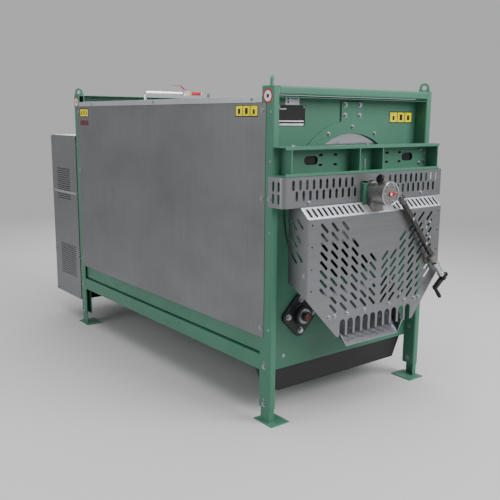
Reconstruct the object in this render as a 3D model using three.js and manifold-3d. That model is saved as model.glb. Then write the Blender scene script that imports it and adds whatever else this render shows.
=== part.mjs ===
// Indented-cylinder grain separator on a folded steel frame.
// Millimetres, +Z up. The finished group has its origin on the floor, under the middle of the
// machine. Inside the machine group x runs from the left outer face, y from the front face of
// the front posts to the rear, and z from the floor.
import * as THREE from 'three';
import { mergeVertices } from 'three/addons/utils/BufferGeometryUtils.js';
import Module from 'manifold-3d';

const wasm = await Module();
wasm.setup();

// ---- driving dimensions ---------------------------------------------------------------------
const frameWidth = 1114;
const frameLength = 2160;
const postTop = 1616;
const postBottom = 75;
const postSide = 80;
const postFront = 40;
const postSheet = 5;
const clear = 0.4;

const footPlateThick = 6;
const footPlateAcross = 113;
const footPlateAlong = 140;
const footPlateOutX = 12;
const footPlateOutY = 33;
const footLegTop = 330;

const sideRailLow = 263;
const sideRailHigh = 339;
const panelRecess = 76;
const panelSheet = 4;
const panelLow = 240;
const topRailHeight = 40;
const panelHigh = postTop - topRailHeight - clear;
const skin = 2;
const sidePanelLow = 431;
const sidePanelHigh = 1539;
const coverTop = 1570;
const coverSkirt = 1541;

const drumX = 577;
const drumZ = 1015;
const drumRadius = 490;
const drumWall = 4;
const tyreRadius = 505;
const rollerRadius = 105;
const rollerX = 332;
const drumFront = 100;
const drumRear = 2050;
const drumLip = 400;
const tyreWidth = 60;
const tyreFront = 300;
const tyreRear = 1800;
const rollerGap = 0.3;
const rollerDrop = Math.sqrt((tyreRadius + rollerRadius + rollerGap) ** 2 - rollerX ** 2);
const rollerZ = drumZ - rollerDrop;
const rollerShaft = 25;

const mouthZ = drumZ + 12;
const ringInner = 372;
const ringOuter = 438;
const ringThick = 7.6;

const troughX = 577;
const troughZ = 1114;
const troughTube = 78;
const augerRadius = 70;
const augerShaft = 18;
const augerPitch = 150;

const beamLow = 1210;
const beamHigh = 1345;
const beamDepth = 78;
const beamSheet = 5;
const beamWidth = 1100;
const beamLip = 14;

const bandFront = 82;
const bandLow = 1068;
const bandHigh = 1209;
const bandReturn = 28;
const bandCorner = 28;
const bandFarCorner = 8;
const bandStandOff = 12;

const guardFront = 142;
const guardX = 579.5;
const guardHalfTop = 479.5;
const guardHalfLow = 279.5;
const guardTop = 1020;
const guardShoulder = 636;
const guardFarShoulder = 668;
const guardLow = 428;
const guardHoodBack = 88;
const guardHoodTop = 1068;
const guardWingBack = 6;
const guardWingLow = 704;
const combSlots = 10;
const combPitch = 53.7;
const combSlotWidth = 38.3;
const combTop = 512;

const driveLength = 440;
const driveStart = 2165;
const driveWidth = 720;
const driveLow = 165;
const driveHigh = 1342;
const roadSprocket = 60;
const motorSprocket = 40;
const augerSprocket = 90;
const motorX = 500;
const motorZ = 330;
const chainPlane = 2240;
const augerChainPlane = 2262;
const sprocketThick = 10;

const dialFace = 202;
const frontReach = 208;
const rearReach = driveStart + driveLength - frameLength;
const machineLength = frontReach + frameLength + rearReach;

// Worm shaft and crank rod: both run down to the right, joined at a ball joint.
const wormCap = new THREE.Vector3(556, -160, 1182);
const ballJoint = new THREE.Vector3(703, -160, 1086);
const crankCentre = new THREE.Vector3(1056, -181, 632);
const wormAxis = ballJoint.clone().sub(wormCap).normalize();
const crankAxis = crankCentre.clone().sub(ballJoint).normalize();
const crankThrow = 80;

// ---- materials ------------------------------------------------------------------------------
function finish(color, roughness, metalness) {
  return new THREE.MeshStandardMaterial({ color, roughness, metalness });
}
const greenPaint = finish(0x5d9a80, 0.45, 0.1);
const sheetSteel = finish(0x8a8c90, 0.38, 0.85);
const darkSheet = finish(0x3e4042, 0.5, 0.7);
const brightSteel = finish(0xb4b7bb, 0.3, 0.9);
const castAlloy = finish(0x8f8d86, 0.6, 0.6);
const blackCast = finish(0x24262a, 0.6, 0.3);
const blackPlastic = finish(0x141416, 0.45, 0.0);
const redPlastic = finish(0xb01824, 0.45, 0.0);
const motorPaint = finish(0x4a5f72, 0.5, 0.2);

// ---- helpers: closed solids -----------------------------------------------------------------
function solidOf(geometry) {
  geometry.deleteAttribute('normal');
  geometry.deleteAttribute('uv');
  const merged = mergeVertices(geometry, 1e-4);
  const vertProperties = new Float32Array(merged.attributes.position.array);
  const triVerts = new Uint32Array(merged.index.array);
  return new wasm.Manifold(new wasm.Mesh({ numProp: 3, vertProperties, triVerts }));
}

function geometryOf(solid) {
  const mesh = solid.getMesh();
  const geometry = new THREE.BufferGeometry();
  geometry.setAttribute('position', new THREE.BufferAttribute(new Float32Array(mesh.vertProperties), 3));
  geometry.setIndex(new THREE.BufferAttribute(new Uint32Array(mesh.triVerts), 1));
  geometry.computeVertexNormals();
  return geometry;
}

function block(x0, x1, y0, y1, z0, z1) {
  const geometry = new THREE.BoxGeometry(x1 - x0, y1 - y0, z1 - z0);
  geometry.translate((x0 + x1) / 2, (y0 + y1) / 2, (z0 + z1) / 2);
  return solidOf(geometry);
}

function shapeOf(points) {
  return new THREE.Shape(points.map(([a, b]) => new THREE.Vector2(a, b)));
}

// An outline of (x, z) points, carried from y0 to y1.
function prismY(points, y0, y1) {
  const geometry = new THREE.ExtrudeGeometry(shapeOf(points), { depth: y1 - y0, bevelEnabled: false });
  geometry.rotateX(Math.PI / 2);
  geometry.translate(0, y1, 0);
  return solidOf(geometry);
}

// An outline of (y, z) points, carried from x0 to x1.
function prismX(points, x0, x1) {
  const geometry = new THREE.ExtrudeGeometry(shapeOf(points), { depth: x1 - x0, bevelEnabled: false });
  geometry.rotateX(Math.PI / 2);
  geometry.rotateZ(Math.PI / 2);
  geometry.translate(x0, 0, 0);
  return solidOf(geometry);
}

// An outline of (x, y) points, carried from z0 to z1.
function prismZ(points, z0, z1) {
  const geometry = new THREE.ExtrudeGeometry(shapeOf(points), { depth: z1 - z0, bevelEnabled: false });
  geometry.translate(0, 0, z0);
  return solidOf(geometry);
}

// A round bar between two points.
function bar(from, to, radius, sides = 24) {
  const along = to.clone().sub(from);
  const geometry = new THREE.CylinderGeometry(radius, radius, along.length(), sides);
  const turn = new THREE.Quaternion();
  turn.setFromUnitVectors(new THREE.Vector3(0, 1, 0), along.clone().normalize());
  geometry.applyQuaternion(turn);
  const middle = from.clone().add(to).multiplyScalar(0.5);
  geometry.translate(middle.x, middle.y, middle.z);
  return solidOf(geometry);
}

function barY(x, z, radius, y0, y1, sides = 32) {
  return bar(new THREE.Vector3(x, y0, z), new THREE.Vector3(x, y1, z), radius, sides);
}

// A turned piece: a profile of (radius, y) points about a Y axis through (x, z).
function turnedY(profile, x, z, segments) {
  const closed = profile[0][0] > 0;
  const ring = closed ? [...profile, profile[0]] : profile;
  const points = ring.map(([radius, y]) => new THREE.Vector2(radius, y));
  const geometry = new THREE.LatheGeometry(points, segments);
  geometry.translate(x, 0, z);
  return solidOf(geometry);
}

// A six-sided solid: four lower corners and the four upper corners above them,
// both anticlockwise seen from above.
function sixSided(low, high) {
  const corners = [...low, ...high].flat();
  const faces = [
    0, 2, 1, 0, 3, 2, 4, 5, 6, 4, 6, 7,
    0, 1, 5, 0, 5, 4, 1, 2, 6, 1, 6, 5,
    2, 3, 7, 2, 7, 6, 3, 0, 4, 3, 4, 7,
  ];
  const geometry = new THREE.BufferGeometry();
  geometry.setAttribute('position', new THREE.Float32BufferAttribute(corners, 3));
  geometry.setIndex(faces);
  return solidOf(geometry);
}

// A point set out from another: along an axis, then sideways.
function setOut(origin, axis, distance, side = new THREE.Vector3(), across = 0) {
  return origin.clone().addScaledVector(axis, distance).addScaledVector(side, across);
}

function arc(cx, cy, radius, startDegrees, endDegrees, steps) {
  const points = [];
  for (let i = 0; i <= steps; i++) {
    const angle = THREE.MathUtils.degToRad(startDegrees + ((endDegrees - startDegrees) * i) / steps);
    points.push([cx + radius * Math.cos(angle), cy + radius * Math.sin(angle)]);
  }
  return points;
}

function mirrorX(solid, middle) {
  return solid.translate([-middle, 0, 0]).mirror([1, 0, 0]).translate([middle, 0, 0]);
}

function mirrorY(solid, middle) {
  return solid.translate([0, -middle, 0]).mirror([0, 1, 0]).translate([0, middle, 0]);
}

const machine = new THREE.Group();
const frontPlane = frontReach - machineLength / 2;
machine.position.set(-frameWidth / 2, frontPlane, 0);

function addPart(name, solid, material) {
  const mesh = new THREE.Mesh(geometryOf(solid), material);
  mesh.name = name;
  machine.add(mesh);
}

// Each corner of the frame: its name and whether it is mirrored to the right or to the rear.
const corners = [
  { name: 'front_left', right: false, rear: false },
  { name: 'front_right', right: true, rear: false },
  { name: 'rear_left', right: false, rear: true },
  { name: 'rear_right', right: true, rear: true },
];

function atCorner(solid, corner) {
  const sideways = corner.right ? mirrorX(solid, frameWidth / 2) : solid;
  return corner.rear ? mirrorY(sideways, frameLength / 2) : sideways;
}

// ---- frame ----------------------------------------------------------------------------------
// A post is a folded channel, open towards the middle of the machine, with a welded top plate.
function post() {
  const inner = postFront - postSheet;
  const outline = [
    [0, 0], [postFront, 0], [postFront, postSide], [inner, postSide], [inner, postSheet],
    [postSheet, postSheet], [postSheet, postSide], [0, postSide],
  ];
  const channel = prismZ(outline, postBottom, postTop);
  const capPlate = block(0, postFront, 0, postSide, postTop - postSheet, postTop);
  return channel.add(capPlate);
}

// The lifting eye stands on the post's top plate, in line with the machine's middle.
const eyeWidth = 62;
const eyeHeight = 48;
const eyeThick = 12;
const eyeHole = 13;
const eyeInsetX = 22;
const eyeInsetY = 38;
function liftingEye() {
  const crown = eyeHeight - eyeWidth / 2 + 5;
  const shape = shapeOf([[-eyeWidth / 2, 0], [eyeWidth / 2, 0], ...arc(0, crown, 26, 0, 180, 10)]);
  const hole = new THREE.Path(arc(0, crown, eyeHole, 360, 0, 14).slice(0, -1).map(([a, b]) => new THREE.Vector2(a, b)));
  shape.holes.push(hole);
  const geometry = new THREE.ExtrudeGeometry(shape, { depth: eyeThick, bevelEnabled: false });
  geometry.translate(0, 0, -eyeThick / 2);
  geometry.rotateX(Math.PI / 2);
  geometry.rotateZ(Math.PI / 4);
  geometry.translate(eyeInsetX, eyeInsetY, postTop + clear);
  return solidOf(geometry);
}

// The foot slides inside the post: a smaller angle welded to a floor plate.
const footInset = postSheet + clear;
function foot() {
  const inner = footInset + postSheet;
  const legWidth = postFront - footInset;
  const outline = [
    [footInset, footInset], [legWidth, footInset], [legWidth, inner],
    [inner, inner], [inner, postSide - 6], [footInset, postSide - 6],
  ];
  const leg = prismZ(outline, footPlateThick - 1, footLegTop);
  const right = footPlateAcross - footPlateOutX;
  const back = footPlateAlong - footPlateOutY;
  const plate = block(-footPlateOutX, right, -footPlateOutY, back, 0, footPlateThick);
  return leg.add(plate);
}

// The bottom rail is a channel with a folded sill above it, under the side panel.
function bottomRail() {
  const outline = [
    [0, sideRailLow], [40, sideRailLow], [40, sideRailLow + 4], [4, sideRailLow + 4],
    [4, sideRailHigh - 4], [40, sideRailHigh - 4], [40, sideRailHigh + 13], [17, sideRailHigh + 13],
    [17, 450], [14, 450], [14, sideRailHigh + 9], [36, sideRailHigh + 9],
    [36, sideRailHigh], [0, sideRailHigh],
  ];
  return prismY(outline, postSide + clear, frameLength - postSide - clear);
}

function rearBottomRail() {
  const outline = [
    [2120, sideRailLow], [2160, sideRailLow], [2160, sideRailHigh], [2120, sideRailHigh],
    [2120, sideRailHigh - 4], [2156, sideRailHigh - 4], [2156, sideRailLow + 4], [2120, sideRailLow + 4],
  ];
  return prismX(outline, postFront + clear, frameWidth - postFront - clear);
}

function topSideRail() {
  const low = 1500;
  const high = coverTop - skin - clear;
  const outline = [
    [0, low], [40, low], [40, low + 4], [4, low + 4],
    [4, high - 4], [40, high - 4], [40, high], [0, high],
  ];
  return prismY(outline, postSide + clear, frameLength - postSide - clear);
}

function topCrossRail() {
  const low = postTop - topRailHeight;
  const outline = [
    [0, low], [20, low], [20, low + 4], [4, low + 4],
    [4, postTop - 4], [postSide, postTop - 4], [postSide, postTop], [0, postTop],
  ];
  return prismX(outline, postFront + clear, frameWidth - postFront - clear);
}

for (const corner of corners) {
  addPart(`post_${corner.name}`, atCorner(post(), corner), greenPaint);
  addPart(`lifting_eye_${corner.name}`, atCorner(liftingEye(), corner), greenPaint);
  addPart(`foot_${corner.name}`, atCorner(foot(), corner), greenPaint);
}
addPart('bottom_rail_left', bottomRail(), greenPaint);
addPart('bottom_rail_right', mirrorX(bottomRail(), frameWidth / 2), greenPaint);
addPart('bottom_rail_rear', rearBottomRail(), greenPaint);
addPart('top_rail_left', topSideRail(), greenPaint);
addPart('top_rail_right', mirrorX(topSideRail(), frameWidth / 2), greenPaint);
addPart('top_rail_front', topCrossRail(), greenPaint);
addPart('top_rail_rear', mirrorY(topCrossRail(), frameLength / 2), greenPaint);

// ---- casing ---------------------------------------------------------------------------------
function sidePanel() {
  const gap = 0.3;
  return block(-skin - gap, -gap, 50, frameLength - 50, sidePanelLow, sidePanelHigh);
}

function topCover() {
  const edge = skin + 0.3;
  const outline = [
    [-edge, coverSkirt], [-0.3, coverSkirt], [-0.3, coverTop - skin], [frameWidth + 0.3, coverTop - skin],
    [frameWidth + 0.3, coverSkirt], [frameWidth + edge, coverSkirt], [frameWidth + edge, coverTop], [-edge, coverTop],
  ];
  return prismY(outline, postSide + 1, frameLength - postSide - 1);
}

// The front panel sits back between the posts. It has the drum's opening and two shaft holes.
const shaftHole = 32;
function frontPanel() {
  const back = panelRecess + panelSheet - clear;
  const left = postFront + clear;
  const sheet = block(left, frameWidth - left, panelRecess, back, panelLow, panelHigh);
  const opening = barY(drumX, mouthZ, ringInner, 60, 100, 56);
  const leftHole = barY(drumX - rollerX, rollerZ, shaftHole, 60, 100, 16);
  const rightHole = barY(drumX + rollerX, rollerZ, shaftHole, 60, 100, 16);
  return sheet.subtract(opening).subtract(leftHole).subtract(rightHole);
}

// The seal ring closes the gap round the drum's mouth. Its stem is held by four slotted bolts.
function sealRing() {
  const back = panelRecess - clear;
  const disc = barY(drumX, mouthZ, ringOuter, back - ringThick, back, 64);
  const stem = block(497, 657, back - ringThick, back, 1420, 1556);
  return disc.add(stem).subtract(barY(drumX, mouthZ, ringInner, 40, 100, 64));
}

// The end disc closes the upper part of the drum's mouth. Its lower part is left open.
function endDisc() {
  const front = panelRecess + panelSheet;
  const disc = barY(drumX, mouthZ, 392, front, front + 3, 48);
  const mouth = block(100, 1060, 60, 100, 500, 840);
  const hub = barY(troughX, troughZ, troughTube + 6, 60, 100, 32);
  return disc.subtract(mouth).subtract(hub);
}

const inletLeft = 745;
const inletRight = 915;
const inletLow = 800;
const inletHigh = 1045;
function rearPanel() {
  const front = frameLength - panelRecess - panelSheet + clear;
  const back = frameLength - panelRecess;
  const left = postFront + clear;
  const sheet = block(left, frameWidth - left, front, back, panelLow, panelHigh);
  const inlet = block(inletLeft, inletRight, front - 10, back + 10, inletLow, inletHigh);
  const hub = barY(troughX, troughZ, 40, front - 10, back + 10, 24);
  const leftHole = barY(drumX - rollerX, rollerZ, shaftHole, front - 10, back + 10, 16);
  const rightHole = barY(drumX + rollerX, rollerZ, shaftHole, front - 10, back + 10, 16);
  return sheet.subtract(inlet).subtract(hub).subtract(leftHole).subtract(rightHole);
}

function bottomPan() {
  const outline = [
    [60, 345], [550, 285], [1040, 345], [1040, 347.2], [550, 287.2], [60, 347.2],
  ];
  return prismY(outline, 220, 2070);
}

// The hopper under the drum's mouth tapers downwards, with an outlet slot in its floor.
function bottomHopper() {
  const outer = [[119, 124], [981, 124], [1056, 277], [1056, 440], [44, 440], [44, 277]];
  const inner = [[121, 126], [979, 126], [1053.8, 278], [1053.8, 450], [46.2, 450], [46.2, 278]];
  const shell = prismY(outer, 80.4, 210).subtract(prismY(inner, 82.4, 208));
  const outlet = block(400, 750, 100, 190, 110, 140);
  return shell.subtract(outlet);
}

function inletSpout() {
  const front = frameLength - panelRecess + clear;
  const outer = [
    [front, inletLow - 2], [2110, inletLow - 2], [2420, 1100], [2420, 1480],
    [2210, 1480], [2210, 1190], [front, inletHigh + 2],
  ];
  const inner = [
    [front - 5, inletLow], [2109, inletLow], [2418, 1101], [2418, 1490],
    [2212, 1490], [2212, 1189], [front - 5, inletHigh - 6],
  ];
  const duct = prismX(outer, inletLeft, inletRight);
  return duct.subtract(prismX(inner, inletLeft + skin, inletRight - skin));
}

addPart('side_panel_left', sidePanel(), sheetSteel);
addPart('side_panel_right', mirrorX(sidePanel(), frameWidth / 2), sheetSteel);
addPart('top_cover', topCover(), sheetSteel);
addPart('front_panel', frontPanel(), greenPaint);
addPart('seal_ring', sealRing(), greenPaint);
addPart('end_disc', endDisc(), brightSteel);
addPart('rear_panel', rearPanel(), greenPaint);
addPart('bottom_pan', bottomPan(), greenPaint);
addPart('bottom_hopper', bottomHopper(), darkSheet);
addPart('inlet_spout', inletSpout(), sheetSteel);

// ---- cross beam and guards ------------------------------------------------------------------
// The beam is a lipped channel, open to the front, with welded ribs and cut-outs in its web.
function slotCutter(x, z, length, height) {
  const radius = height / 2;
  const reach = length / 2 - radius;
  const outline = [...arc(x + reach, z, radius, -90, 90, 6), ...arc(x - reach, z, radius, 90, 270, 6)];
  return prismY(outline, -20, 10);
}

function crossBeam() {
  const back = -clear;
  const web = block(0, beamWidth, -beamSheet, back, beamLow, beamHigh);
  const plan = [
    [0, back], [0, -50], [14, -beamDepth], [beamWidth, -beamDepth], [beamWidth, back],
  ].reverse();
  const lowFlange = prismZ(plan, beamLow, beamLow + beamSheet);
  const highFlange = prismZ(plan, beamHigh - beamSheet, beamHigh);
  const lowLip = block(14, beamWidth, -beamDepth, -beamDepth + 4, beamLow, beamLow + beamLip);
  const highLip = block(14, beamWidth, -beamDepth, -beamDepth + 4, beamHigh - beamLip, beamHigh);
  let beam = web.add(lowFlange).add(highFlange).add(lowLip).add(highLip);
  for (const ribX of [50, 488, 654, 1087]) {
    beam = beam.add(block(ribX - 3, ribX + 3, -beamDepth, back, beamLow, beamHigh));
  }
  for (const side of [-1, 1]) {
    beam = beam.subtract(slotCutter(drumX + side * 346, 1276, 89, 42));
    for (const reach of [186, 284]) {
      beam = beam.subtract(slotCutter(drumX + side * reach, 1300, 26, 11));
      beam = beam.subtract(slotCutter(drumX + side * reach, 1253, 26, 11));
    }
  }
  return beam;
}

// The bracket hangs the trough's gearbox from the beam.
const bracketFront = 97.6;
function gearboxBracket() {
  const low = 1031;
  const high = beamLow - clear;
  const cheek = [
    [-5, low], [-bracketFront, low], [-bracketFront, 1162], [-76, 1166], [-76, high], [-5, high],
  ];
  const leftCheek = prismX(cheek, 503, 509);
  const rightCheek = prismX(cheek, 645, 651);
  const face = block(503, 651, -bracketFront, -bracketFront + 8, low, 1162);
  const topPlate = block(503, 651, -76, -5, high - 8, high);
  const bracket = leftCheek.add(rightCheek).add(face).add(topPlate);
  return bracket.subtract(barY(troughX, troughZ, 20, -110, -80, 20));
}

// The band guard wraps the front below the beam and returns along both posts. Its far return
// stands off the post on a spacer.
function bandGuard() {
  const gap = 0.3;
  const left = -skin - gap;
  const right = frameWidth + bandStandOff;
  const far = bandFarCorner;
  const outerLeft = arc(left + bandCorner, -bandFront + bandCorner, bandCorner, 180, 270, 5);
  const outerRight = arc(right - far, -bandFront + far, far, 270, 360, 4);
  const innerRight = arc(right - far, -bandFront + far, far - skin, 360, 270, 4);
  const innerLeft = arc(left + bandCorner, -bandFront + bandCorner, bandCorner - skin, 270, 180, 5);
  const plan = [
    [left, bandReturn], ...outerLeft, ...outerRight, [right, bandReturn],
    [right - skin, bandReturn], ...innerRight, ...innerLeft, [left + skin, bandReturn],
  ];
  const spacer = block(frameWidth + gap, right - skin / 2, 6, 26, 1094, 1114);
  const band = prismZ(plan, bandLow, bandHigh).add(spacer);
  return band.subtract(block(494, 660, -100, -60, bandLow - 5, 1172));
}

// The comb at the guard's foot lets the product out and keeps hands out.
function combCutter(index) {
  const left = guardX - (combSlots * combPitch - (combPitch - combSlotWidth)) / 2 + index * combPitch;
  const radius = combSlotWidth / 2;
  const crown = arc(left + radius, combTop - radius, radius, 0, 180, 6);
  const outline = [[left, guardLow - 5], [left + combSlotWidth, guardLow - 5], ...crown];
  return prismY(outline, -guardFront - 5, -guardFront + 6);
}

// The far shoulder sits higher than the near one, so that the crank can turn past it.
function frontGuard() {
  const outX = guardX - guardHalfTop;
  const farX = guardX + guardHalfTop;
  const front = -guardFront;
  const face = prismY([
    [outX, guardTop], [outX, guardShoulder], [guardX - guardHalfLow, guardLow],
    [guardX + guardHalfLow, guardLow], [farX, guardFarShoulder], [farX, guardTop],
  ], front, front + skin);
  const wingSide = (shoulder) => [
    [front, shoulder], [-guardWingBack, guardWingLow], [-guardWingBack, guardHoodTop],
    [-guardHoodBack, guardHoodTop], [front, guardTop],
  ];
  const leftWing = prismX(wingSide(guardShoulder), outX, outX + skin);
  const rightWing = prismX(wingSide(guardFarShoulder), farX - skin, farX);
  const hood = prismX([
    [front, guardTop], [-guardHoodBack, guardHoodTop], [-guardHoodBack, guardHoodTop - 2.8],
    [front + 1, guardTop - skin], [front, guardTop - skin],
  ], outX, farX);
  let guard = face.add(leftWing).add(rightWing).add(hood);
  guard = guard.subtract(block(498, 656, -101, -60, 1000, 1100));
  guard = guard.subtract(block(527, 611, -136, -100, 1000, 1100));
  for (let index = 0; index < combSlots; index++) {
    guard = guard.subtract(combCutter(index));
  }
  return guard;
}

// The outlet chute slopes forward from the panel and is open at its front lip.
function outletChute() {
  const back = panelRecess - ringThick - 3 * clear;
  const outer = sixSided(
    [[384, -128, 361], [764, -128, 361], [832, back, 560], [322, back, 560]],
    [[342, -128, 424], [806, -128, 424], [852, back, 620], [302, back, 620]],
  );
  const inner = sixSided(
    [[386.5, -140, 352], [761.5, -140, 352], [829.5, back - 2, 561.5], [324.5, back - 2, 561.5]],
    [[344.5, -140, 430], [803.5, -140, 430], [849.5, back - 2, 640], [304.5, back - 2, 640]],
  );
  return outer.subtract(inner);
}

addPart('cross_beam', crossBeam(), greenPaint);
addPart('gearbox_bracket', gearboxBracket(), greenPaint);
addPart('band_guard', bandGuard(), sheetSteel);
addPart('front_guard', frontGuard(), sheetSteel);
addPart('outlet_chute', outletChute(), brightSteel);

// ---- drum and its rollers -------------------------------------------------------------------
function drumShell() {
  const inner = drumRadius - drumWall;
  const profile = [
    [drumLip, drumFront], [drumRadius, drumFront], [drumRadius, tyreFront], [tyreRadius, tyreFront],
    [tyreRadius, tyreFront + tyreWidth], [drumRadius, tyreFront + tyreWidth],
    [drumRadius, tyreRear], [tyreRadius, tyreRear], [tyreRadius, tyreRear + tyreWidth],
    [drumRadius, tyreRear + tyreWidth], [drumRadius, drumRear], [drumLip, drumRear],
    [drumLip, drumRear - drumWall], [inner, drumRear - drumWall], [inner, drumFront + drumWall],
    [drumLip, drumFront + drumWall],
  ];
  return turnedY(profile, drumX, drumZ, 48);
}

// Each roller shaft carries two wheels. The left one is driven and ends in a sprocket.
function rollerProfile(driven) {
  const front = 8;
  const profile = [[0, front], [rollerShaft, front]];
  for (const start of [tyreFront, tyreRear]) {
    profile.push([rollerShaft, start], [rollerRadius, start]);
    profile.push([rollerRadius, start + tyreWidth], [rollerShaft, start + tyreWidth]);
  }
  if (driven) {
    profile.push([rollerShaft, chainPlane], [roadSprocket, chainPlane]);
    profile.push([roadSprocket, chainPlane + sprocketThick], [rollerShaft, chainPlane + sprocketThick]);
    profile.push([rollerShaft, chainPlane + 30], [0, chainPlane + 30]);
  } else {
    profile.push([rollerShaft, 2146], [0, 2146]);
  }
  return profile;
}

// Four-bolt flange bearing, its square flange set on its point.
const bearingHalf = 88;
function flangeBearing(x, z) {
  const back = panelRecess - clear;
  const square = block(-bearingHalf, bearingHalf, back - 15, back, -bearingHalf, bearingHalf);
  const flange = square.rotate([0, 45, 0]).translate([x, 0, z]);
  const trimmed = flange.intersect(barY(x, z, 112, 0, 100, 16));
  const boss = barY(x, z, 50, 28, back - 5, 24);
  return trimmed.add(boss).subtract(barY(x, z, rollerShaft + 0.4, 0, 100, 24));
}

addPart('drum_shell', drumShell(), sheetSteel);
addPart('roller_left', turnedY(rollerProfile(true), drumX - rollerX, rollerZ, 20), blackCast);
addPart('roller_right', turnedY(rollerProfile(false), drumX + rollerX, rollerZ, 20), blackCast);
for (const [side, x] of [['left', drumX - rollerX], ['right', drumX + rollerX]]) {
  const bearing = flangeBearing(x, rollerZ);
  addPart(`bearing_front_${side}`, bearing, blackCast);
  addPart(`bearing_rear_${side}`, mirrorY(bearing, frameLength / 2), blackCast);
}

// ---- catch trough and screw -----------------------------------------------------------------
// A wide trough with a round bottom, a tube nose through the end disc and a shaft at each end.
const noseFront = 10;
const troughStart = 150;
const troughEnd = 1990;
function catchTrough() {
  const inside = troughTube - 4;
  const outline = [
    [-262, 168], ...arc(0, 0, troughTube, 180, 360, 10), [202, 168],
    [198, 171], ...arc(0, 0, inside, 360, 180, 10), [-258, 172],
  ].map(([x, z]) => [x + troughX, z + troughZ]);
  const sheet = prismY(outline, troughStart, troughEnd);
  const nose = barY(troughX, troughZ, troughTube, noseFront, troughStart + 4, 24);
  const noseBore = barY(troughX, troughZ, inside, noseFront + 4, troughStart + 10, 24);
  const dropSlot = block(troughX - 45, troughX + 45, 20, 66, troughZ - 100, troughZ - 40);
  const endPlate = prismY(outline.slice(0, 12), troughEnd - 4, troughEnd);
  const rearHub = barY(troughX, troughZ, 36, troughEnd - 4, 2120, 20);
  const rearBore = barY(troughX, troughZ, 26, troughEnd - 20, 2140, 20);
  const frontShaft = barY(troughX, troughZ, 17, -176, noseFront + 2, 20);
  const dialShaft = barY(troughX, troughZ, 6, -206, -170, 12);
  const tube = nose.subtract(noseBore).subtract(dropSlot);
  const rear = endPlate.add(rearHub).subtract(rearBore);
  return sheet.add(tube).add(rear).add(frontShaft).add(dialShaft);
}

const wheelTeeth = 30;
const wheelTip = 34;
const wheelRoot = 31;
function wormWheel() {
  const outline = [];
  for (let tooth = 0; tooth < wheelTeeth; tooth++) {
    const angle = (tooth * 2 * Math.PI) / wheelTeeth;
    const half = Math.PI / wheelTeeth;
    outline.push([troughX + wheelTip * Math.cos(angle), troughZ + wheelTip * Math.sin(angle)]);
    outline.push([troughX + wheelRoot * Math.cos(angle + half), troughZ + wheelRoot * Math.sin(angle + half)]);
  }
  return prismY(outline, -172, -148).subtract(barY(troughX, troughZ, 17.3, -180, -140, 20));
}

function pointer() {
  const hub = barY(troughX, troughZ, 12, -frontReach, -203, 16);
  const needle = prismY([
    [troughX, troughZ - 9], [troughX + 44, troughZ - 3], [troughX + 44, troughZ + 3], [troughX, troughZ + 9],
  ], -frontReach, -203);
  return hub.add(needle).subtract(barY(troughX, troughZ, 6.3, -215, -200, 12));
}

function augerShaftSolid() {
  const end = augerChainPlane + sprocketThick;
  const profile = [
    [0, 16], [augerShaft, 16], [augerShaft, augerChainPlane], [augerSprocket, augerChainPlane],
    [augerSprocket, end], [augerShaft, end], [augerShaft, end + 12], [0, end + 12],
  ];
  return turnedY(profile, troughX, troughZ, 20);
}

// The screw's flight is one helical ribbon round the shaft.
function augerFlight() {
  const start = 18;
  const end = 1978;
  const perTurn = 10;
  const steps = Math.round(((end - start) / augerPitch) * perTurn);
  const inner = augerShaft + 1.4;
  const thick = 4;
  const positions = [];
  for (let i = 0; i <= steps; i++) {
    const angle = (i / perTurn) * 2 * Math.PI;
    const y = start + ((end - start - thick) * i) / steps;
    for (const [radius, offset] of [[inner, 0], [augerRadius, 0], [augerRadius, thick], [inner, thick]]) {
      positions.push(troughX + radius * Math.sin(angle), y + offset, troughZ + radius * Math.cos(angle));
    }
  }
  const faces = [0, 1, 2, 0, 2, 3];
  for (let i = 0; i < steps; i++) {
    for (let side = 0; side < 4; side++) {
      const a = i * 4 + side;
      const b = i * 4 + ((side + 1) % 4);
      faces.push(a, a + 4, b + 4, a, b + 4, b);
    }
  }
  const last = steps * 4;
  faces.push(last, last + 2, last + 1, last, last + 3, last + 2);
  const geometry = new THREE.BufferGeometry();
  geometry.setAttribute('position', new THREE.Float32BufferAttribute(positions, 3));
  geometry.setIndex(faces);
  return solidOf(geometry);
}

addPart('catch_trough', catchTrough(), sheetSteel);
addPart('worm_wheel', wormWheel(), brightSteel);
addPart('pointer', pointer(), redPlastic);
addPart('auger_shaft', augerShaftSolid(), brightSteel);
addPart('auger_flight', augerFlight(), sheetSteel);

// ---- trough gearbox and crank ---------------------------------------------------------------
const housingRadius = 58;
const wormTube = 22;
function gearboxHousing() {
  const back = -bracketFront - clear;
  const drumBody = barY(troughX, troughZ, housingRadius, -dialFace + 6, back, 32);
  const plate = block(troughX - 46, troughX + 30, back - 34, back, troughZ - 90, troughZ + 49);
  const tube = bar(setOut(wormCap, wormAxis, -8), setOut(wormCap, wormAxis, 150), wormTube, 20);
  const cavity = barY(troughX, troughZ, 48, -dialFace, -112, 28);
  const shaftBore = barY(troughX, troughZ, 18, -130, -80, 20);
  const wormBore = bar(setOut(wormCap, wormAxis, -20), setOut(wormCap, wormAxis, 170), 13, 16);
  return drumBody.add(plate).add(tube).subtract(cavity).subtract(shaftBore).subtract(wormBore);
}

function dialCover() {
  const back = -dialFace + 6 - clear;
  return barY(troughX, troughZ, 62, -dialFace, back, 32).subtract(barY(troughX, troughZ, 7, -220, -180, 12));
}

// A piece turned about a slanting axis: a profile of (radius, distance) points from an origin.
function turnedAlong(profile, origin, axis, segments) {
  const points = profile.map(([radius, distance]) => new THREE.Vector2(radius, distance));
  const geometry = new THREE.LatheGeometry(points, segments);
  const turn = new THREE.Quaternion();
  turn.setFromUnitVectors(new THREE.Vector3(0, 1, 0), axis);
  geometry.applyQuaternion(turn);
  geometry.translate(origin.x, origin.y, origin.z);
  return solidOf(geometry);
}

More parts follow.
